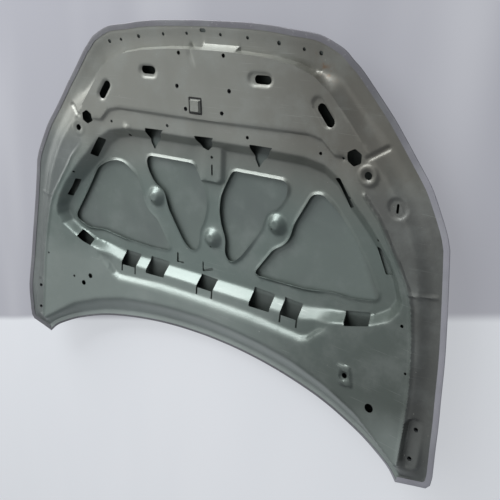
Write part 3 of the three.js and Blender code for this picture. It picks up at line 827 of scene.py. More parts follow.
    def set_pad_plane(self, step: float = 20.0) -> None:
        """Works out the flat plane of the hinge pads.

        Args:
            step: how far to each side the crown's slope is measured.
        """
        cx, cy = self.pad_centre
        frame_at = lambda x, y: single(self.crown.frame, x, y)
        self.pad_level = single(self.crown.skin, cx, cy) + self.pad_height
        self.pad_slope_x = (frame_at(cx + step, cy) - frame_at(cx - step, cy)) / (2 * step)
        self.pad_slope_y = (frame_at(cx, cy + step) - frame_at(cx, cy - step)) / (2 * step)

    def pad_plane(self, x: Run, y: Run) -> Run:
        """Flat plane of the hinge pads.

        Args:
            x: across places.
            y: along places.

        Returns:
            The height of each place.
        """
        cx, cy = self.pad_centre
        return (self.pad_level + self.pad_slope_x * (np.abs(x) - cx)
                + self.pad_slope_y * (y - cy))

    def wall_window(self, left: float, right: float, legs: bool, top: float = -119.0) -> Run:
        """Window in the wall behind the tray.

        Args:
            left: its left side.
            right: its right side.
            legs: whether a cut runs on over the shelf at each side.
            top: along place of its edge in the tray.

        Returns:
            The window's closed loop.
        """
        if not legs:
            return rounded(at((left, top), (right, top - 2), (right, -165), (left, -167)), 4, 3)
        leg, end, shelf = self.leg_width, self.leg_end, self.shelf_start
        return at((left, top), (left + leg, top - 1), (right, top - 3), (right, end),
                  (right - leg, end), (right - leg, shelf), (left + leg, shelf),
                  (left + leg, end), (left, end))

    def all_holes(self) -> list[Run]:
        """Every hole of the frame but the pockets.

        Returns:
            The holes' closed loops.
        """
        right = [
            capsule(at((176, 421)), 46, 20, 0), capsule(at((342, 358)), 58, 22, -0.9),
            rounded(ring(at((418, 276)), 20, 6), 3, 2)]
        right += [ring(at((x, y)), radius, count) for x, y, radius, count in (
            (455, 242, 9, 20), (51, 514, 4, 12), (127, 510, 4, 12), (211, 502, 5, 12),
            (275, 492, 4, 12), (317, 486, 5, 12), (68, 468, 5, 12), (128, 282, 4.5, 12),
            (331, 272, 4, 12), (81, 388, 5.5, 16), (57, 333, 5.5, 16), (649, -306, 5.5, 16),
            (647, -381, 5.5, 16))]
        sides = [
            rounded(at((422, -101), (486, -84), (500, -103), (438, -124)), 3, 3),
            rounded(at((-490, -86), (-438, -108), (-430, -121), (-462, -114), (-486, -102)), 2, 2),
            rounded(at((366, 219), (384, 225), (424, 164), (405, 152)), 4, 3),
            rounded(at((481, 79), (500, 84), (534, 27), (512, 18)), 4, 3),
            rounded(at((-371, 215), (-386, 222), (-426, 166), (-414, 156)), 3, 3),
            rounded(at((-488, 76), (-499, 80), (-538, 22), (-529, 16)), 3, 3)]
        middle = [
            capsule(at((0, 522)), 18, 9, 0, 6),
            rounded(at((-46, 322), (-4, 322), (-4, 365), (-46, 365)), 4, 3),
            self.wall_window(-31, 27, True, -128), self.wall_window(149, 215, False),
            self.wall_window(247, 302, True), self.wall_window(-221, -151, False),
            self.wall_window(-317, -260, True),
            rounded(at((-38, 266), (23, 268), (13, 251), (-10, 229), (-32, 235), (-36, 251)), 2, 2),
            rounded(at((135, 266), (201, 266), (182, 246), (158, 226), (142, 205), (131, 226),
                        (132, 246)), 2, 2),
            rounded(at((-207, 267), (-144, 268), (-165, 247), (-191, 226), (-205, 205),
                        (-217, 226), (-213, 246)), 2, 2),
            ring(at((0, 212)), 4), capsule(at((0, 178)), 30, 5, math.pi / 2, 4),
            at((-125, -86), (-119, -86), (-118, -110), (-99, -109), (-98, -114), (-124, -115)),
            at((-32, -92), (-28, -92), (-26, -114), (2, -103), (7, -104), (6, -110), (-24, -120),
               (-30, -119))]
        middle += [ring(at((x, y)), radius, count) for x, y, radius, count in (
            (457, -247, 7, 18), (532, -301, 11, 22), (578, -74, 4, 12), (-430, -222, 8, 16),
            (-457, -251, 8, 16), (-497, -237, 4, 12), (-287, 236, 4, 12))]
        middle.append(capsule(at((529, 183)), 22, 6, math.pi / 2, 4))
        fine = [ring(at(spot), 3.2, 10) for spot in (
            (-6, -42), (194, 55), (-214, 55), (414, 184), (493, 103), (-493, 103), (389, 270),
            (604, -180), (-604, -180))]
        return right + [mirrored(hole) for hole in right] + sides + middle + fine

    def beam(self, x: Run, y: Run) -> Run:
        """Height of the beams above the crown, with the steps in front of and behind the tray.

        Args:
            x: across places.
            y: along places.

        Returns:
            The height of each place.
        """
        end = np.where(y > 0, self.front_step_end, self.rear_step_end)
        fade = ease((end - np.abs(x)) / self.step_fade)
        ahead = soft((y - line_height(self.front_ridge, x)) / self.front_step_width)
        width = np.interp(np.abs(x), (160, 320), (self.rear_step_width, self.rear_step_end_width))
        behind = soft((line_height(self.rear_bead, x) - y) / width)
        nose = self.front_step * fade * (1 - ahead)
        rear = self.rear_step * fade * (1 - behind)
        return self.crown.beam_height - np.where(y > 0, nose, rear)

    def fall(self, x: Run, y: Run) -> Run:
        """Share of the height that is left between the crest and the flange.

        Along the nose a short steep wall falls from the crest to a nearly flat band. The wall is
        wider at the light block and at the right corner.

        Args:
            x: across places.
            y: along places.

        Returns:
            The share at each place.
        """
        flange = distance_to(x, y, self.plan.outline[::2], True) - self.plan.flange_width
        reach = flange + distance_to(x, y, self.crest, True)
        share = clamp(flange / np.maximum(reach, 1e-6))
        nose = ease((y - (self.nose_start - PLAN_MIDDLE)) / self.nose_length)
        block = soft((x - self.block_left) / 4) * soft((self.block_right - x) / 4)
        corner = ease((x - self.corner_start) / self.corner_length)
        wall = self.nose_wall + self.block_extra * block + self.corner_extra * corner
        kink = 1 - wall / np.maximum(reach, 2 * wall)
        low = share / kink * self.nose_band
        high = self.nose_band + (share - kink) / (1 - kink) * (1 - self.nose_band)
        mix = ease((share - kink + self.nose_bend) / (2 * self.nose_bend))
        kinked = low * (1 - mix) + high * mix
        plain = 0.85 * share + 0.15 * soft(share, 0.3)
        return np.where(flange <= 0, 0.0, plain * (1 - nose) + kinked * nose)

    def height(self, x: Run, y: Run) -> Run:
        """Upper face of the frame, in millimetres over the crown's lowest level.

        Args:
            x: across places.
            y: along places.

        Returns:
            The height of each place.
        """
        skin = self.crown.skin(x, y)
        beam = self.crown.frame(x, y) + self.beam(x, y)
        low = skin + self.crown.gap + self.crown.inner_gauge
        height = np.where(inside(x, y, self.crest), beam, low + (beam - low) * self.fall(x, y))
        tray = skin + self.crown.tray_height
        foot = distance_to(x, y, self.tray_foot, True)
        head = distance_to(x, y, self.tray_head, True)
        wall = tray + (beam - tray) * soft(foot / np.maximum(foot + head, 1e-6))
        height = np.where(inside(x, y, self.tray_head), wall, height)
        height = np.where(inside(x, y, self.tray_foot), tray, height)
        height += self.pocket_lips(x, y) + self.cone_forms(x, y)
        rise = np.minimum(distance_to(x, y, self.tongue[:4], False) / 9, (x + 72) / 56)
        raised = np.maximum(height, np.minimum(tray + self.tongue_height * soft(rise), beam))
        height = np.where(inside(x, y, self.tongue), raised, height)
        height += self.boss_forms(x, y) + self.side_beads(x, y) + self.small_forms(x, y)
        for seat in self.seats:
            sunk = soft(distance_to(x, y, seat, True) / 6)
            height -= self.seat_depth * np.where(inside(x, y, seat), sunk, 0.0)
        for pad in self.pads:
            edge = distance_to(x, y, pad, True)
            share = np.where(inside(x, y, pad), 1.0, soft(1 - edge / 6))
            height += (self.pad_plane(x, y) - height) * share
        return height

    def pocket_lips(self, x: Run, y: Run) -> Run:
        """Lips round the pockets, lower along the right side of each.

        Args:
            x: across places.
            y: along places.

        Returns:
            The height that they add.
        """
        add = np.zeros(x.shape)
        for pocket in self.pockets:
            top = pocket[:, 1].max()
            faint = ease((x - pocket[:, 0].mean()) / 40) * ease((top - 16 - y) / 30)
            lip = self.lip_height * (1 - self.lip_drop * faint)
            add += lip * soft(1 - distance_to(x, y, pocket, True) / self.lip_width)
        return add

    def cone_forms(self, x: Run, y: Run) -> Run:
        """Blunt cones between the pockets.

        Args:
            x: across places.
            y: along places.

        Returns:
            The height that they add.
        """
        add = np.zeros(x.shape)
        for (cone,) in self.cones:
            far = np.hypot(x - cone[0], y - cone[1])
            rise = (self.cone_radius - far) / (self.cone_radius - self.cone_top_radius)
            add += self.cone_height * soft(rise, 0.16)
        return add

    def boss_forms(self, x: Run, y: Run) -> Run:
        """Raised rings and the raised square round three of the holes.

        Args:
            x: across places.
            y: along places.

        Returns:
            The height that they add.
        """
        add = np.zeros(x.shape)
        for (boss,) in self.bosses:
            far = np.hypot(x - boss[0], y - boss[1])
            rise = self.boss_height * (1.0 if boss[0] > 0 else self.left_boss_share)
            add += rise * soft((self.boss_radius - far) / 7) * soft((far - 10) / 6)
        square = np.where(inside(x, y, self.square_boss), self.boss_height, 0.0)
        sunk = np.hypot(x - 457, y - (-247 - PLAN_MIDDLE))
        edge = distance_to(x, y, self.square_boss, True)
        return add + square * soft(edge / 5) * soft((sunk - 9) / 5)

    def side_beads(self, x: Run, y: Run) -> Run:
        """Beads along both sides, the left one lower and fading towards the nose.

        Args:
            x: across places.
            y: along places.

        Returns:
            The height that they add.
        """
        far = distance_to(np.abs(x), y, self.side_bead, False)
        rise = self.bead_height * np.where(x > 0, 1.0, 0.5 * ease((175 - y) / 60))
        return rise * soft(1 - far / self.bead_half_width, 0.3)

    @staticmethod
    def small_forms(x: Run, y: Run) -> Run:
        """Ledges, creases and bumps that are only a few millimetres high.

        Args:
            x: across places.
            y: along places.

        Returns:
            The height that they add.
        """
        add = np.zeros(x.shape)
        for rise, half_width, line in (
                (-1.6, 8, at((200, 480), (250, 466), (290, 455))),
                (-2.0, 9, at((-345, 430), (-385, 400), (-440, 345))),
                (3.2, 5, at((583, 3), (610, 5), (641, 9))),
                (1.2, 5, at((-583, 17), (-610, 17), (-641, 20)))):
            add += rise * soft(1 - distance_to(x, y, line, False) / half_width)
        notch = at((-40, 487), (-33, 462), (-22, 435))
        fade = ease((y - (430 - PLAN_MIDDLE)) / 40)
        add -= 4.5 * fade * soft(1 - distance_to(x, y, notch, False) / 9)
        for rise, radius, bend, (cx, cy) in (
                (6.0, 19, 0.35, (-274, 258)), (-2.4, 12, 0.4, (389, 270))):
            far = np.hypot(x - cx, y - (cy - PLAN_MIDDLE))
            add += rise * soft(1 - far / radius, bend)
        return add

    def feature_lines(self) -> list[tuple[Run, bool]]:
        """Lines beside which the sheet bends most.

        Returns:
            Each line, and whether it is closed.
        """
        loops = [self.tray_foot, self.tray_head, self.tongue, self.square_boss, *self.pockets,
                 *self.seats, *self.pads, *[ring(place, 20) for place in self.cones + self.bosses]]
        lines = [turned(line, side) for side in Side
                 for line in (self.front_ridge, self.rear_bead, self.side_bead)]
        lines += [at((-40, 487), (-22, 432)), at((583, 3), (641, 9)), at((-583, 17), (-641, 20)),
                  at((-262, 480), (0, 487), (104, 487), (104, 478))]
        return [(loop, True) for loop in loops] + [(line, False) for line in lines]

    def plan_points(self, rims: list[Run]) -> Run:
        """Free points of the sheet in plan, closer together beside its features.

        Args:
            rims: the flange's loop and the rims of the holes.

        Returns:
            The points, clear of every rim.
        """
        coarse, fine = staggered_grid(self.coarse), staggered_grid(self.fine)
        near = np.full(len(fine), FAR_AWAY)
        away = np.full(len(coarse), FAR_AWAY)
        for line, closed in self.feature_lines():
            near = np.minimum(near, distance_to(*fine.T, line, closed))
            away = np.minimum(away, distance_to(*coarse.T, line, closed))
        for hole in self.holes:
            near = np.minimum(near, distance_to(*fine.T, hole, True) + self.hole_margin)
        points = np.vstack([fine[near < self.fine_reach], coarse[away >= self.fine_reach]])
        points = np.vstack([points[self.off_nose_wall(points)], self.nose_rows()])
        clear = np.full(len(points), FAR_AWAY)
        for rim in rims:
            clear = np.minimum(clear, distance_to(*points.T, rim, True))
        return points[(clear > self.rim_clearance) & inside(*points.T, rims[0])]

    def off_nose_wall(self, points: Run) -> Run:
        """Whether points keep clear of the short wall along the nose.

        Args:
            points: plan points.

        Returns:
            True for each point that is clear of it.
        """
        x, y = points.T
        far = distance_to(x, y, self.crest, True)
        block = (x > self.block_left - 3) & (x < self.block_right + 3)
        past = np.where(inside(x, y, self.crest), 2.2, 8.8 + self.block_extra * block)
        return (far > past) | (y < self.nose_start + 16 - PLAN_MIDDLE)

    def nose_rows(self) -> Run:
        """Rows of points that follow the short wall along the nose.

        Returns:
            The points of every row.
        """
        crest = closed_run(self.crest, 4.0)
        away = -inward_vectors(crest)
        ahead = crest[:, 1] > self.nose_start + 18 - PLAN_MIDDLE
        rows = [(crest + away * step)[ahead] for step in (0.0, 2.3, 4.7, 7.0)]
        block = (crest[:, 0] > self.block_left - 1) & (crest[:, 0] < self.block_right + 1)
        rows += [(crest + away * step)[ahead & block] for step in (11.0, 15.0)]
        return np.vstack(rows)

    def build(self) -> bpy.types.Object:
        """Makes the panel.

        Returns:
            The finished piece.
        """
        flange = self.plan.inset(self.plan.flange_width)
        openings = self.pockets + self.holes
        rims = [flange] + [closed_run(loop, self.rim_spacing) for loop in openings]
        plan, faces = triangles_of(self.plan_points(rims), rims, openings)
        heights = self.height(*plan.T)
        rise = self.crown.gap + self.crown.inner_gauge
        heights[:len(flange)] = self.crown.flange(self.plan.flange_width) + rise
        rings = Rings(len(flange), [np.column_stack([plan, heights + self.crown.lift])])
        for distance in (10.0, 1.5):
            rings.add(self.plan.inset(distance),
                      self.crown.flange(distance) + rise + self.crown.lift)
        obj = Bench.sheet("inner_panel_sheet", np.vstack(rings.blocks),
                          faces.tolist() + rings.quads())
        Bench.turn_faces(obj, up=True)
        self.mark_tones(obj)
        Bench.thicken(obj, self.crown.inner_gauge)
        Bench.smooth(obj, SHEET_SMOOTHING)
        return obj

    def mark_tones(self, obj: bpy.types.Object) -> None:
        """Marks the bands beside the side beads, and the slope along the rear edge where a
        highlight is painted.

        Args:
            obj: the sheet.
        """
        x, y = Bench.places(obj)
        line = self.side_bead[::-1]
        past = np.abs(x) - np.interp(y, line[:, 1], line[:, 0])
        Bench.mark(obj, "side_band", ease((past + 1) / 4) * ease((260 - PLAN_MIDDLE - y) / 90))
        far = distance_to(x, y, self.crest, True) * (1 - inside(x, y, self.crest))
        Bench.mark(obj, "rear_slope_highlight", ease(far / 22) * ease((-190 - y) / 40))


# ---------------------------------------------------------------- outer panel

@dataclass
class OuterPanel:
    """Crowned skin whose edge is folded back over the inner panel."""

    plan: BonnetPlan
    crown: Crown
    tray: Run
    hem_width: float = 14.0
    rear_hem_width: float = 6.0
    spacing: float = 9.5
    fold_steps: int = 6
    zone_width: float = 17.0

    def hem_widths(self) -> Run:
        """Width of the folded hem round the outline.

        Returns:
            The width at each point of the outline.
        """
        x, y = np.abs(self.plan.outline[:, 0]), self.plan.outline[:, 1]
        rear = distance_to(x, y, self.plan.arc, False) < 1.0
        return np.where(rear, self.rear_hem_width, self.hem_width)

    def build(self) -> bpy.types.Object:
        """Makes the panel.

        Returns:
            The finished piece.
        """
        flange = self.plan.inset(self.plan.flange_width)
        grid = staggered_grid(self.spacing)
        keep = inside(*grid.T, flange) & (distance_to(*grid.T, flange, True) > 4)
        plan, faces = triangles_of(grid[keep], [flange], [])
        heights = self.crown.skin(*plan.T)
        heights[:len(flange)] = self.crown.flange(self.plan.flange_width)
        drop = self.crown.lift - self.crown.skin_gauge
        rings = Rings(len(flange), [np.column_stack([plan, heights + drop])])
        stack = 2 * self.crown.skin_gauge + 2 * self.crown.gap + self.crown.inner_gauge
        radius = stack / 2
        profile = [(12.0, 0.0), (6.0, 0.0)]
        for k in range(self.fold_steps + 1):
            turn = math.pi * k / self.fold_steps
            profile.append((radius * (1 - math.sin(turn)), radius * (1 - math.cos(turn))))
        for distance, rise in profile:
            rings.add(self.plan.inset(distance), self.crown.flange(distance) + rise + drop)
        inward = inward_vectors(self.plan.outline)
        for share in (0.5, 1.0):
            reach = radius + (self.hem_widths() - radius) * share
            rings.add(self.plan.outline + inward * reach[:, None],
                      self.crown.flange(reach) + stack + drop)
        obj = Bench.sheet("outer_panel_skin", np.vstack(rings.blocks),
                          faces.tolist() + rings.quads())
        Bench.turn_faces(obj, up=False)
        self.mark_zones(obj)
        Bench.thicken(obj, self.crown.skin_gauge)
        Bench.smooth(obj, SHEET_SMOOTHING)
        return obj

    def mark_zones(self, obj: bpy.types.Object) -> None:
        """Marks the outside with its hem, and what the frame covers of the inside, where shade is
        painted on the skin.

        Args:
            obj: the sheet.
        """
        x, y = Bench.places(obj)
        edge = distance_to(x, y, self.plan.outline, True) < self.zone_width
        zone = np.where(edge, Zone.OUTSIDE.value, Zone.INSIDE.value)
        # share of the skin that the frame covers, where shade is painted
        under = ease(distance_to(x, y, self.tray, True) / 14) * (1 - inside(x, y, self.tray))
        Bench.mark(obj, "zone", zone)
        Bench.mark(obj, "shade_under_frame", under * (1 - zone))


# ---------------------------------------------------------------- plates, nuts and dabs

@dataclass
class WeldNut:
    """Hexagonal weld nut."""

    radius: float = 9.0
    height: float = 7.0
    bore: float = 4.2
    edge: float = 0.5

    def build(self) -> bpy.types.Object:
        """Makes one nut whose top lies at the origin.

        Returns:
            The nut, to be copied.
        """
        middle = (0.0, 0.0, -self.height / 2)
        nut = Bench.cylinder("weld_nut", self.radius, self.height, 6, middle)
        Bench.cut(nut, Bench.cylinder("bore", self.bore, 4 * self.height, 28))
        Bench.soften(nut, self.edge, 2, 40)
        Bench.smooth(nut, SMALL_PART_SMOOTHING)
        return nut


@dataclass
class StrikerPlate:
    """Reinforcement behind the nose, with a flat pad that stands up in the square window."""

    inner: InnerPanel
    gauge: float = 1.5
    pad_rise: float = 7.0
    pad_wall: float = 3.0
    hole_radius: float = 5.5
    bolts: tuple[tuple[float, float], ...] = ((81, 388), (57, 333), (-57, 333), (-81, 388))

    def top(self, x: float, y: float) -> float:
        """Upper face of the plate beside the pad."""
        crown = self.inner.crown
        return single(crown.frame, x, y) + crown.beam_height - crown.under_frame(1.5)

    def build(self) -> bpy.types.Object:
        """Makes the plate.

        Returns:
            The finished piece.
        """
        corner = at((-104, 318), (104, 402))
        size = corner[1] - corner[0]
        middle = corner.mean(axis=0)
        Bench.clear()
        bpy.ops.mesh.primitive_grid_add(x_subdivisions=104, y_subdivisions=42, size=1.0)
        plate = Bench.start("striker_plate")
        lift = self.inner.crown.lift
        pad = at((-41, 327), (-9, 359))
        pad_y = pad[:, 1].mean()
        slope = (self.top(0, pad_y + 15) - self.top(0, pad_y - 15)) / 30
        raised = []
        for vertex in plate.data.vertices:
            x = middle[0] + vertex.co.x * size[0]
            y = middle[1] + vertex.co.y * size[1]
            level = self.top(x, y)
            edge = min(x - pad[0, 0], pad[1, 0] - x, y - pad[0, 1], pad[1, 1] - y)
            share = float(soft(np.array([edge / self.pad_wall]))[0])
            raised.append(1.0 if edge > 0.5 else 0.0)
            pad_level = self.top(0, pad_y) + self.pad_rise + slope * (y - pad_y)
            vertex.co = Vector((x, y, level + (pad_level - level) * share + lift)) * MM
        Bench.mark(plate, "raised", raised)
        Bench.turn_faces(plate, up=True)
        Bench.thicken(plate, self.gauge)
        for x, y in self.bolts:
            y -= PLAN_MIDDLE
            cutter = Bench.cylinder("bolt_hole", self.hole_radius, 20, 28)
            Bench.lay(cutter, (x, y, self.top(x, y) + lift), facing(self.top, x, y, 5))
            Bench.cut(plate, cutter)
        Bench.smooth(plate, SHEET_SMOOTHING)
        return plate

    def nuts(self, pattern: bpy.types.Object) -> list[bpy.types.Object]:
        """Copies of the weld nut under the four holes.

        Args:
            pattern: the nut to copy.

        Returns:
            The copies.
        """
        out = []
        for i, (x, y) in enumerate(self.bolts):
            y -= PLAN_MIDDLE
            nut = Bench.copy(pattern, f"striker_weld_nut_{i + 1}")
            level = self.top(x, y) - self.gauge - 2 * self.inner.crown.gap
            Bench.lay(nut, (x, y, level + self.inner.crown.lift), facing(self.top, x, y, 5))
            out.append(nut)
        return out


@dataclass
class HingePlate:
    """Reinforcement under a hinge pad, with its two weld nuts."""

    inner: InnerPanel
    side: Side
    length: float = 110.0
    width: float = 24.0
    gauge: float = 1.5
    hole_radius: float = 5.5
    bolts: tuple[tuple[float, float], ...] = ((649, -306), (647, -381))

    def top(self, x: float, y: float) -> float:
        """Upper face of the plate."""
        return single(self.inner.pad_plane, x, y) - self.inner.crown.under_frame(1)

    def normal(self) -> Vector:
        """Direction that the plate faces."""
        slope = self.inner.pad_slope_x * self.side.value
        return Vector((-slope, -self.inner.pad_slope_y, 1)).normalized()

    def place(self, x: float, y: float, below: float) -> tuple[float, float, float]:
        """A place on this side, below the plate's upper face."""
        across = x * self.side.value
        return (across, y, self.top(across, y) - below + self.inner.crown.lift)

    def build(self) -> bpy.types.Object:
        """Makes the plate.

        Returns:
            The finished piece.
        """
        name = f"hinge_plate_{self.side.name.lower()}"
        middle = (0.0, 0.0, -self.gauge / 2)
        plate = Bench.cylinder(name, self.width / 2, self.gauge, 40, middle)
        reach = (self.length - self.width) / 2
        for vertex in plate.data.vertices:
            vertex.co.y += math.copysign(reach * MM, vertex.co.y)
        cx, cy = self.inner.pad_centre
        for x, y in self.bolts:
            hole = ((x - cx) * self.side.value, y - PLAN_MIDDLE - cy, 0.0)
            Bench.cut(plate, Bench.cylinder("bolt_hole", self.hole_radius, 20, 28, hole))
        Bench.soften(plate, 0.3, 2, 50)
        Bench.lay(plate, self.place(cx, cy, 0.0), self.normal())
        Bench.smooth(plate, SMALL_PART_SMOOTHING)
        return plate

    def nuts(self, pattern: bpy.types.Object) -> list[bpy.types.Object]:
        """Copies of the weld nut under the two holes.

        Args:
            pattern: the nut to copy.

        Returns:
            The copies.
        """
        out = []
        for i, (x, y) in enumerate(self.bolts):
            nut = Bench.copy(pattern, f"hinge_weld_nut_{self.side.name.lower()}_{i + 1}")
            below = self.gauge + self.inner.crown.gap
            Bench.lay(nut, self.place(x, y - PLAN_MIDDLE, below), self.normal())
            out.append(nut)
        return out


@dataclass
class MasticDabs:
    """Soft dabs between the tray and the skin."""

    crown: Crown
    radius: float = 12.0
    places: tuple[tuple[float, float], ...] = ((110, 212), (244, 122), (143, -30), (70, -93))

    def level(self, x: float, y: float) -> float:
        """Skin height under a dab."""
        return single(self.crown.skin, x, y)

    def build(self) -> list[bpy.types.Object]:
        """Makes one dab and copies it to the eight places.

        Returns:
            The dabs, right side first.
        """
        thick = self.crown.tray_height - self.crown.under_frame(2)
        pattern = Bench.cylinder("mastic_dab", self.radius, thick, 36)
        Bench.soften(pattern, 1.2, 4, 40)
        Bench.smooth(pattern, 60)
        out = []
        spots = [*self.places, *[(-x, y) for x, y in self.places]]
        for i, (x, y) in enumerate(spots):
            y -= PLAN_MIDDLE
            dab = Bench.copy(pattern, f"mastic_dab_{i + 1}_soft")
            middle = self.level(x, y) + self.crown.gap + thick / 2 + self.crown.lift
            Bench.lay(dab, (x, y, middle), facing(self.level, x, y, 8))
            out.append(dab)
        bpy.data.objects.remove(pattern, do_unlink=True)
        return out


# ---------------------------------------------------------------- finishes

Value = "Sock | float"


class Sock:
    """A shader value that can be used in sums."""

    def __init__(self, shader: "Shader", socket: bpy.types.NodeSocket) -> None:
        """Keeps the socket.

        Args:
            shader: the material it belongs to.
            socket: the output socket of a node.
        """
        self.shader = shader
        self.socket = socket

    def _math(self, kind: str, first: Value, second: Value) -> "Sock":
        """Adds one Math node."""
        return self.shader.node("ShaderNodeMath", {"operation": kind}, {0: first, 1: second})

    def __add__(self, other: Value) -> "Sock":
        """Sum."""
        return self._math("ADD", self, other)

    __radd__ = __add__

    def __sub__(self, other: Value) -> "Sock":
        """Difference."""
        return self._math("SUBTRACT", self, other)

    def __rsub__(self, other: Value) -> "Sock":
        """Difference the other way."""
        return self._math("SUBTRACT", other, self)

    def __mul__(self, other: Value) -> "Sock":
        """Product."""
        return self._math("MULTIPLY", self, other)

    __rmul__ = __mul__

    def band(self, low: float, high: float) -> "Sock":
        """0 below low, 1 above high, smooth between; the other way round where low is higher."""
        return self.shader.node("ShaderNodeMapRange", {"interpolation_type": "SMOOTHSTEP"},
                                {"Value": self, "From Min": low, "From Max": high})


class Shader:
    """One material and the nodes in it."""

    def __init__(self, name: str) -> None:
        """Starts an empty material."""
        self.material = bpy.data.materials.new(name)
        self.material.use_nodes = True
        self.tree = self.material.node_tree
        self.tree.nodes.clear()
        self.place = self.node("ShaderNodeTexCoord", {}, {}, "Object")

    def node(self, kind: str, settings: dict[str, object], inputs: dict[object, object],
             output: object = 0) -> Sock:
        """Adds a node.

        Args:
            kind: type of the node.
            settings: its own properties.
            inputs: values or links of its sockets, by name or number.
            output: the socket wanted back.

        Returns:
            The wanted output.
        """
        node = self.tree.nodes.new(kind)
        for key, value in settings.items():
            setattr(node, key, value)
        for key, value in inputs.items():
            socket = node.inputs[key]
            if isinstance(value, Sock):
                self.tree.links.new(value.socket, socket)
            else:
                socket.default_value = value
        return Sock(self, node.outputs[output])

    def noise(self, scale: float, detail: float, rough: float,
              place: "Sock | None" = None) -> Sock:
        """Noise over the piece.

        Args:
            scale: how fine it is.
            detail: how many finer layers it has.
            rough: strength of the finer layers.
            place: where it is read, if not at the piece's own coordinates.

        Returns:
            The noise, from 0 to 1.
        """
        return self.node("ShaderNodeTexNoise", {}, {
            "Vector": place or self.place, "Scale": scale, "Detail": detail, "Roughness": rough})

    def streaks(self, angle: float, scale: tuple[float, float, float]) -> Sock:
        """Noise drawn out along one direction of the plan.

        Args:
            angle: turn of the pattern, in radians.
            scale: how fine it is along each axis.

        Returns:
            The noise, from 0 to 1.
        """
        moved = self.node("ShaderNodeMapping", {}, {
            "Vector": self.place, "Rotation": (0.0, 0.0, angle), "Scale": scale})
        return self.noise(1.0, 2.0, 0.5, moved)

    def mark(self, name: str) -> Sock:
        """Values that were written on the points of the mesh."""
        return self.node("ShaderNodeAttribute", {"attribute_name": name}, {}, "Fac")

    def axis(self, name: str) -> Sock:
        """One coordinate of the place."""
        return self.node("ShaderNodeSeparateXYZ", {}, {"Vector": self.place}, name)

    def near(self, x: float, y: float, reach: float) -> Sock:
        """1 at a plan place, falling to 0 at a distance from it.

        Args:
            x: across place in measured millimetres.
            y: along place in measured millimetres.
            reach: the distance.

        Returns:
            The share.
        """
        flat = self.node("ShaderNodeVectorMath", {"operation": "MULTIPLY"},
                         {0: self.place, 1: (1.0, 1.0, 0.0)})
        far = self.node("ShaderNodeVectorMath", {"operation": "DISTANCE"},
                        {0: flat, 1: (x * MM, (y - PLAN_MIDDLE) * MM, 0.0)}, "Value")
        return far.band(reach * MM, 0.0)

    def mix(self, share: Value, low: object, high: object) -> Sock:
        """Blend of two colours."""
        return self.node("ShaderNodeMix", {"data_type": "RGBA"},
                         {"Factor": share, 6: low, 7: high}, 2)

    def finish(self, constants: dict[str, object], linked: dict[str, Sock],
               bump: "Sock | None" = None, depth: float = 0.0) -> bpy.types.Material:
        """Adds the surface and its output.

        Args:
            constants: plain values of the surface.
            linked: sockets that vary.
            bump: height of the relief, if any.
            depth: size of the relief in metres.

        Returns:
            The finished material.
        """
        inputs = {**constants, **linked}
        if bump is not None:
            inputs["Normal"] = self.node("ShaderNodeBump", {}, {
                "Strength": 1.0, "Distance": depth, "Height": bump})
        surface = self.node("ShaderNodeBsdfPrincipled", {}, inputs)
        out = self.tree.nodes.new("ShaderNodeOutputMaterial")
        self.tree.links.new(surface.socket, out.inputs["Surface"])
        return self.material


def tone(code: str) -> tuple[float, float, float, float]:
    """Linear colour of a screen colour.

    Args:
        code: its six hexadecimal digits.

    Returns:
        Red, green, blue and alpha.
    """
    parts = [int(code[i:i + 2], 16) / 255 for i in (0, 2, 4)]
    linear = [p / 12.92 if p <= 0.04045 else ((p + 0.055) / 1.055) ** 2.4 for p in parts]
    return (*linear, 1.0)


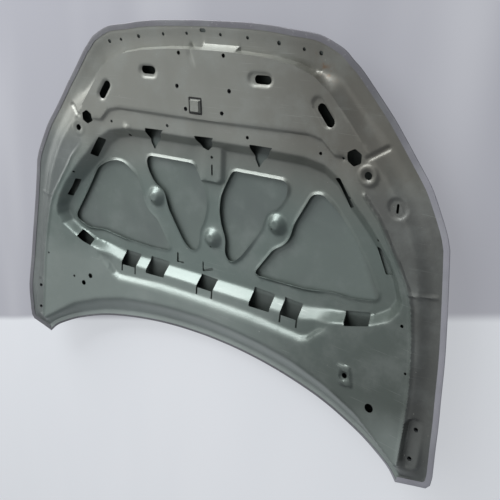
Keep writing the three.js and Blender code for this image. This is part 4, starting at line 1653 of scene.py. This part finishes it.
@dataclass(frozen=True)
class FramePrimer:
    """Satin primer of the pressed frame, warm at the nose and cooler in the tray, with painted
    light on the rear band, the rear slope and the right rear corner.
    """

    warm: str = "85867f"
    cool: str = "6b7772"
    dark: str = "4b4f49"
    shade: str = "5d5a52"
    left_band: str = "686c6b"
    right_band: str = "5d5d5a"
    # paler tone painted as light falling on the rear band and the right rear corner
    rear: str = "8e9792"
    # very pale tone painted as the highlight on the rear slope
    rear_slope_highlight: str = "b6bfba"
    dust: str = "9aa09c"
    scuff: str = "b8bcb6"
    stain: str = "6f5740"
    chip: str = "c9c7bd"
    metallic: float = 0.45
    coat: float = 0.3

    def build(self) -> bpy.types.Material:
        """Makes the material.

        Returns:
            The finished material.
        """
        s = Shader("frame_primer_paint")
        along = s.axis("Y")
        across = s.axis("X")
        cloud = s.noise(2.6, 4.0, 0.6)
        mottle = s.noise(11.0, 5.0, 0.62)
        grain = s.noise(320.0, 2.0, 0.6)
        nose = (along + 0.16 * cloud).band(0.10, 0.36)
        colour = s.mix(nose, tone(self.cool), tone(self.warm))
        corner = (0.8 * across - 0.7 * along + 0.2 * mottle).band(0.12, 0.85)
        colour = s.mix(0.75 * corner, colour, tone(self.dark))
        colour = s.mix(0.8 * nose * across.band(0.05, 0.42), colour, tone(self.shade))
        band = s.mark("side_band")
        # painted light: a paler band along the rear, fading out towards the right
        rear = along.band(-0.15, -0.22) * (1.0 - across.band(0.05, 0.36))
        colour = s.mix(0.6 * rear, colour, tone(self.rear))
        # painted highlight on the slope along the rear edge, left off the side bands
        slope = s.mark("rear_slope_highlight")
        colour = s.mix(0.55 * slope * (1.0 - band), colour, tone(self.rear_slope_highlight))
        # painted light: the right rear corner is made paler
        painted_corner_light = along.band(-0.30, -0.40) * across.band(0.45, 0.62)
        colour = s.mix(0.7 * painted_corner_light, colour, tone(self.rear))
        edge_tone = s.mix(across.band(-0.2, 0.2), tone(self.left_band), tone(self.right_band))
        colour = s.mix(0.8 * band, colour, edge_tone)
        colour = s.mix(0.22 * mottle.band(0.42, 0.72), colour, tone(self.dust))
        colour = s.mix(0.15 * cloud.band(0.55, 0.35), colour, tone(self.dark))
        scuffs = s.streaks(0.5, (9.0, 420.0, 9.0)).band(0.66, 0.74) * cloud.band(0.45, 0.62)
        crossing = s.streaks(-0.9, (8.0, 380.0, 8.0)).band(0.68, 0.75)
        scuffs = scuffs + crossing * mottle.band(0.5, 0.66)
        colour = s.mix(0.2 * scuffs, colour, tone(self.scuff))
        marks = s.noise(60.0, 3.0, 0.7).band(0.45, 0.7)
        stain = s.near(336, 440, 34) + s.near(322, 462, 16) + 0.6 * s.near(-555, 20, 22)
        stain = stain + 0.5 * s.near(300, 482, 14)
        colour = s.mix(0.75 * stain * marks, colour, tone(self.stain))
        chips = s.noise(150.0, 1.0, 0.4).band(0.80, 0.84)
        colour = s.mix(0.4 * chips, colour, tone(self.chip))
        rough = 0.31 + 0.13 * mottle + 0.08 * grain - 0.05 * scuffs
        relief = 0.5 * s.noise(26.0, 2.0, 0.5) + 0.12 * grain
        return s.finish({"Metallic": self.metallic, "Coat Weight": self.coat,
                         "Coat Roughness": 0.28},
                        {"Base Color": colour, "Roughness": rough}, relief, 0.0011)


@dataclass(frozen=True)
class SkinPrimer:
    """Primer of the outer skin: lilac grey outside and on the hem, green-grey inside, with painted
    shade under the frame and beside the right pocket, and painted light on the right part of the
    hem.
    """

    hem: str = "706f74"
    far_hem_painted_light: str = "9f9ea5"
    inner: str = "6a746f"
    dust: str = "8d9390"
    dull: str = "55585a"
    shade_under_frame: str = "262926"
    shade: str = "454844"
    worn: str = "a6a6a6"
    metallic: float = 0.45
    coat: float = 0.3

    def build(self) -> bpy.types.Material:
        """Makes the material.

        Returns:
            The finished material.
        """
        s = Shader("skin_primer_paint")
        zone = s.mark("zone")
        cloud = s.noise(3.1, 4.0, 0.6)
        mottle = s.noise(13.0, 5.0, 0.6)
        grain = s.noise(300.0, 2.0, 0.6)
        # painted light: the right part of the hem is paler
        right = s.axis("X").band(0.45, 0.62)
        colour = s.mix(zone, tone(self.inner), s.mix(right, tone(self.hem), tone(self.far_hem_painted_light)))
        colour = s.mix(0.25 * mottle.band(0.45, 0.72), colour, tone(self.dust))
        colour = s.mix(0.3 * cloud.band(0.55, 0.35), colour, tone(self.dull))
        # painted shade on the skin under the frame, outside the tray
        shade_under_frame = s.mark("shade_under_frame")
        colour = s.mix(0.6 * shade_under_frame, colour, tone(self.shade_under_frame))
        side = (0.9 * s.axis("X") + 0.434 * s.axis("Y")).band(0.398, 0.418)
        colour = s.mix(0.4 * side * (1.0 - zone), colour, tone(self.shade))
        wear = s.noise(75.0, 3.0, 0.7).band(0.6, 0.72) * zone
        colour = s.mix(0.4 * wear, colour, tone(self.worn))
        rough = 0.36 + 0.14 * mottle + 0.08 * grain
        relief = 0.5 * s.noise(22.0, 2.0, 0.5) + 0.1 * grain
        return s.finish({"Metallic": self.metallic, "Coat Weight": self.coat,
                         "Coat Roughness": 0.28},
                        {"Base Color": colour, "Roughness": rough}, relief, 0.0009)


@dataclass(frozen=True)
class PlatePrimer:
    """Paler primer of the reinforcements."""

    colour: str = "83857e"
    worn: str = "989a93"
    shade: str = "262624"

    def build(self) -> bpy.types.Material:
        """Makes the material.

        Returns:
            The finished material.
        """
        s = Shader("plate_primer_paint")
        mottle = s.noise(40.0, 4.0, 0.6)
        grain = s.noise(400.0, 2.0, 0.6)
        colour = s.mix(0.6 * mottle.band(0.45, 0.7), tone(self.colour), tone(self.worn))
        raised = s.mark("raised")
        colour = s.mix(raised.band(0.3, 0.7), tone(self.shade), colour)
        rough = 0.38 + 0.16 * mottle
        return s.finish({"Metallic": 0.35, "Coat Weight": 0.15, "Coat Roughness": 0.3},
                        {"Base Color": colour, "Roughness": rough}, grain, 0.0002)


@dataclass(frozen=True)
class NutSteel:
    """Dull plated steel."""

    colour: str = "5a5d60"
    dull: str = "454749"

    def build(self) -> bpy.types.Material:
        """Makes the material.

        Returns:
            The finished material.
        """
        s = Shader("dull_plated_steel")
        mottle = s.noise(90.0, 4.0, 0.6)
        colour = s.mix(mottle.band(0.4, 0.7), tone(self.colour), tone(self.dull))
        rough = 0.35 + 0.25 * mottle
        return s.finish({"Metallic": 0.85}, {"Base Color": colour, "Roughness": rough},
                        mottle, 0.0002)


@dataclass(frozen=True)
class Mastic:
    """Black soft mastic."""

    colour: str = "2c2d2c"
    dusty: str = "444542"

    def build(self) -> bpy.types.Material:
        """Makes the material.

        Returns:
            The finished material.
        """
        s = Shader("black_mastic")
        mottle = s.noise(120.0, 4.0, 0.6)
        colour = s.mix(mottle.band(0.4, 0.75), tone(self.colour), tone(self.dusty))
        rough = 0.75 + 0.15 * mottle
        return s.finish({"Metallic": 0.0}, {"Base Color": colour, "Roughness": rough},
                        mottle, 0.0006)


# ---------------------------------------------------------------- room

@dataclass
class Room:
    """Pale floor, lamps and camera."""

    floor_reach: float = 9.0
    wall: str = "b0b1b9"
    sheet: str = "e6e9ee"
    fold: str = "f0f2f6"
    air: str = "cfd3da"
    glow: float = 0.62
    body: float = 0.3
    camera_place: tuple[float, float, float] = (0.90884, 0.44886, 1.24709)
    camera_turn: tuple[float, float, float] = (-17.0544, 33.3289, 3.6951)
    lens: float = 41.803
    key_power: float = 108.0
    fill_power: float = 14.0
    top_power: float = 12.0
    rear_power: float = 3.5
    world_level: float = 0.42

    def floor(self) -> None:
        """Lays the floor."""
        Bench.clear()
        bpy.ops.mesh.primitive_plane_add(size=2 * self.floor_reach, location=(0, 0, -0.001))
        floor = Bench.start("floor")
        Bench.settle(floor)
        s = Shader("pale_floor")
        across, along = s.axis("X"), s.axis("Y")
        folds = s.node("ShaderNodeMapping", {}, {
            "Vector": s.place, "Rotation": (0.0, 0.0, 0.35), "Scale": (2.2, 0.5, 1.0)})
        cloth = s.noise(1.0, 2.0, 0.5, folds)
        line = (along - 0.311 * across + 0.03 * cloth).band(-0.27, -0.30)
        colour = s.mix(line, tone(self.wall), tone(self.sheet))
        colour = s.mix(0.25 * cloth.band(0.42, 0.68), colour, tone(self.fold))
        body = s.mix(self.body, tone(BLACK), colour)
        path = s.tree.nodes.new("ShaderNodeLightPath")
        seen = (Sock(s, path.outputs["Is Camera Ray"]) + Sock(s, path.outputs["Is Glossy Ray"])
                + Sock(s, path.outputs["Is Transmission Ray"]))
        glow = s.mix(seen.band(0.0, 1.0), tone(BLACK), colour)
        floor.data.materials.append(s.finish(
            {"Roughness": 0.9, "Specular IOR Level": 0.1, "Emission Strength": self.glow},
            {"Base Color": body, "Emission Color": glow}))

    @staticmethod
    def lamp(name: str, place: tuple[float, float, float], size: tuple[float, float],
             power: float, colour: tuple[float, float, float]) -> None:
        """Hangs a soft lamp that faces the bonnet.

        Args:
            name: name of the lamp.
            place: where it hangs, in metres.
            size: width and height.
            power: strength in watts.
            colour: its tint.
        """
        light = bpy.data.lights.new(name, "AREA")
        light.shape = "RECTANGLE"
        light.size, light.size_y = size
        light.energy = power
        light.color = colour
        obj = bpy.data.objects.new(name, light)
        obj.location = place
        obj.rotation_euler = (-Vector(place)).to_track_quat("-Z", "Y").to_euler()
        bpy.context.scene.collection.objects.link(obj)

    def light(self) -> None:
        """Hangs the lamps and sets the world."""
        self.lamp("window_lamp", (-1.4, 2.15, 1.3), (2.4, 1.6), self.key_power, (0.97, 0.99, 1.0))
        self.lamp("side_lamp", (-2.7, 0.6, 1.25), (2.0, 1.2), self.fill_power, (1.0, 0.99, 0.97))
        self.lamp("ceiling_lamp", (-0.3, 0.6, 3.4), (2.4, 2.4), self.top_power, (1.0, 0.99, 0.97))
        self.lamp("rear_lamp", (-1.5, -1.0, 1.7), (1.8, 1.6), self.rear_power, (0.98, 1.0, 1.0))
        world = bpy.data.worlds.new("room_air")
        world.use_nodes = True
        back = world.node_tree.nodes["Background"]
        back.inputs["Color"].default_value = tone(self.air)
        back.inputs["Strength"].default_value = self.world_level
        bpy.context.scene.world = world

    def camera(self) -> None:
        """Stands the camera where the picture was taken from."""
        lens = bpy.data.cameras.new("picture_camera")
        lens.lens = self.lens
        lens.sensor_width = 36.0
        obj = bpy.data.objects.new("picture_camera", lens)
        obj.location = self.camera_place
        obj.rotation_euler = tuple(math.radians(angle) for angle in self.camera_turn)
        bpy.context.scene.collection.objects.link(obj)
        bpy.context.scene.camera = obj

    def build(self) -> None:
        """Makes the room."""
        bpy.context.scene.view_settings.view_transform = "Standard"
        self.floor()
        self.light()
        self.camera()


# ---------------------------------------------------------------- bonnet

@dataclass
class Bonnet:
    """The whole bonnet."""

    plan: BonnetPlan = field(default_factory=BonnetPlan)

    def fit(self, obj: bpy.types.Object, node: str,
            material: bpy.types.Material) -> None:
        """Dresses a piece and puts it in the place of its CAD node.

        Args:
            obj: the piece.
            node: the CAD node it stands for.
            material: its finish.
        """
        obj.data.materials.clear()
        obj.data.materials.append(material)
        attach(obj, "root")
        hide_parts(node)
        log.info("%s: %d faces", obj.name, len(obj.data.polygons))

    def build(self) -> None:
        """Makes every piece in order."""
        crown = Crown(self.plan)
        middle = np.meshgrid(np.linspace(-80, 80, 9), np.linspace(-120, 220, 35))
        lowest = min(crown.skin(*middle).min(), crown.skin(*self.plan.outline.T).min())
        crown.lift = crown.skin_gauge - float(lowest)
        inner = InnerPanel(self.plan, crown)
        frame_paint, skin_paint = FramePrimer().build(), SkinPrimer().build()
        plate_paint, nut_steel, mastic = PlatePrimer().build(), NutSteel().build(), Mastic().build()
        skin = OuterPanel(self.plan, crown, inner.tray_foot)
        self.fit(skin.build(), "outer_panel", skin_paint)
        self.fit(inner.build(), "inner_panel", frame_paint)
        striker = StrikerPlate(inner)
        self.fit(striker.build(), "striker_reinforcement", plate_paint)
        pattern = WeldNut().build()
        for i, nut in enumerate(striker.nuts(pattern)):
            self.fit(nut, f"striker_nut_{i + 1}", nut_steel)
        for side in Side:
            word = side.name.lower()
            plate = HingePlate(inner, side)
            self.fit(plate.build(), f"hinge_reinforcement_{word}", plate_paint)
            for i, nut in enumerate(plate.nuts(pattern)):
                self.fit(nut, f"hinge_nut_{word}_{i + 1}", nut_steel)
        bpy.data.objects.remove(pattern, do_unlink=True)
        for i, dab in enumerate(MasticDabs(crown).build()):
            self.fit(dab, f"mastic_dab_{i + 1}", mastic)


def main() -> None:
    """Builds the bonnet and its room, and logs each piece's face count."""
    logging.basicConfig(level=logging.INFO, format="%(message)s")
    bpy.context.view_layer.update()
    Bonnet().build()
    Room().build()


if __name__ == "__main__":
    main()
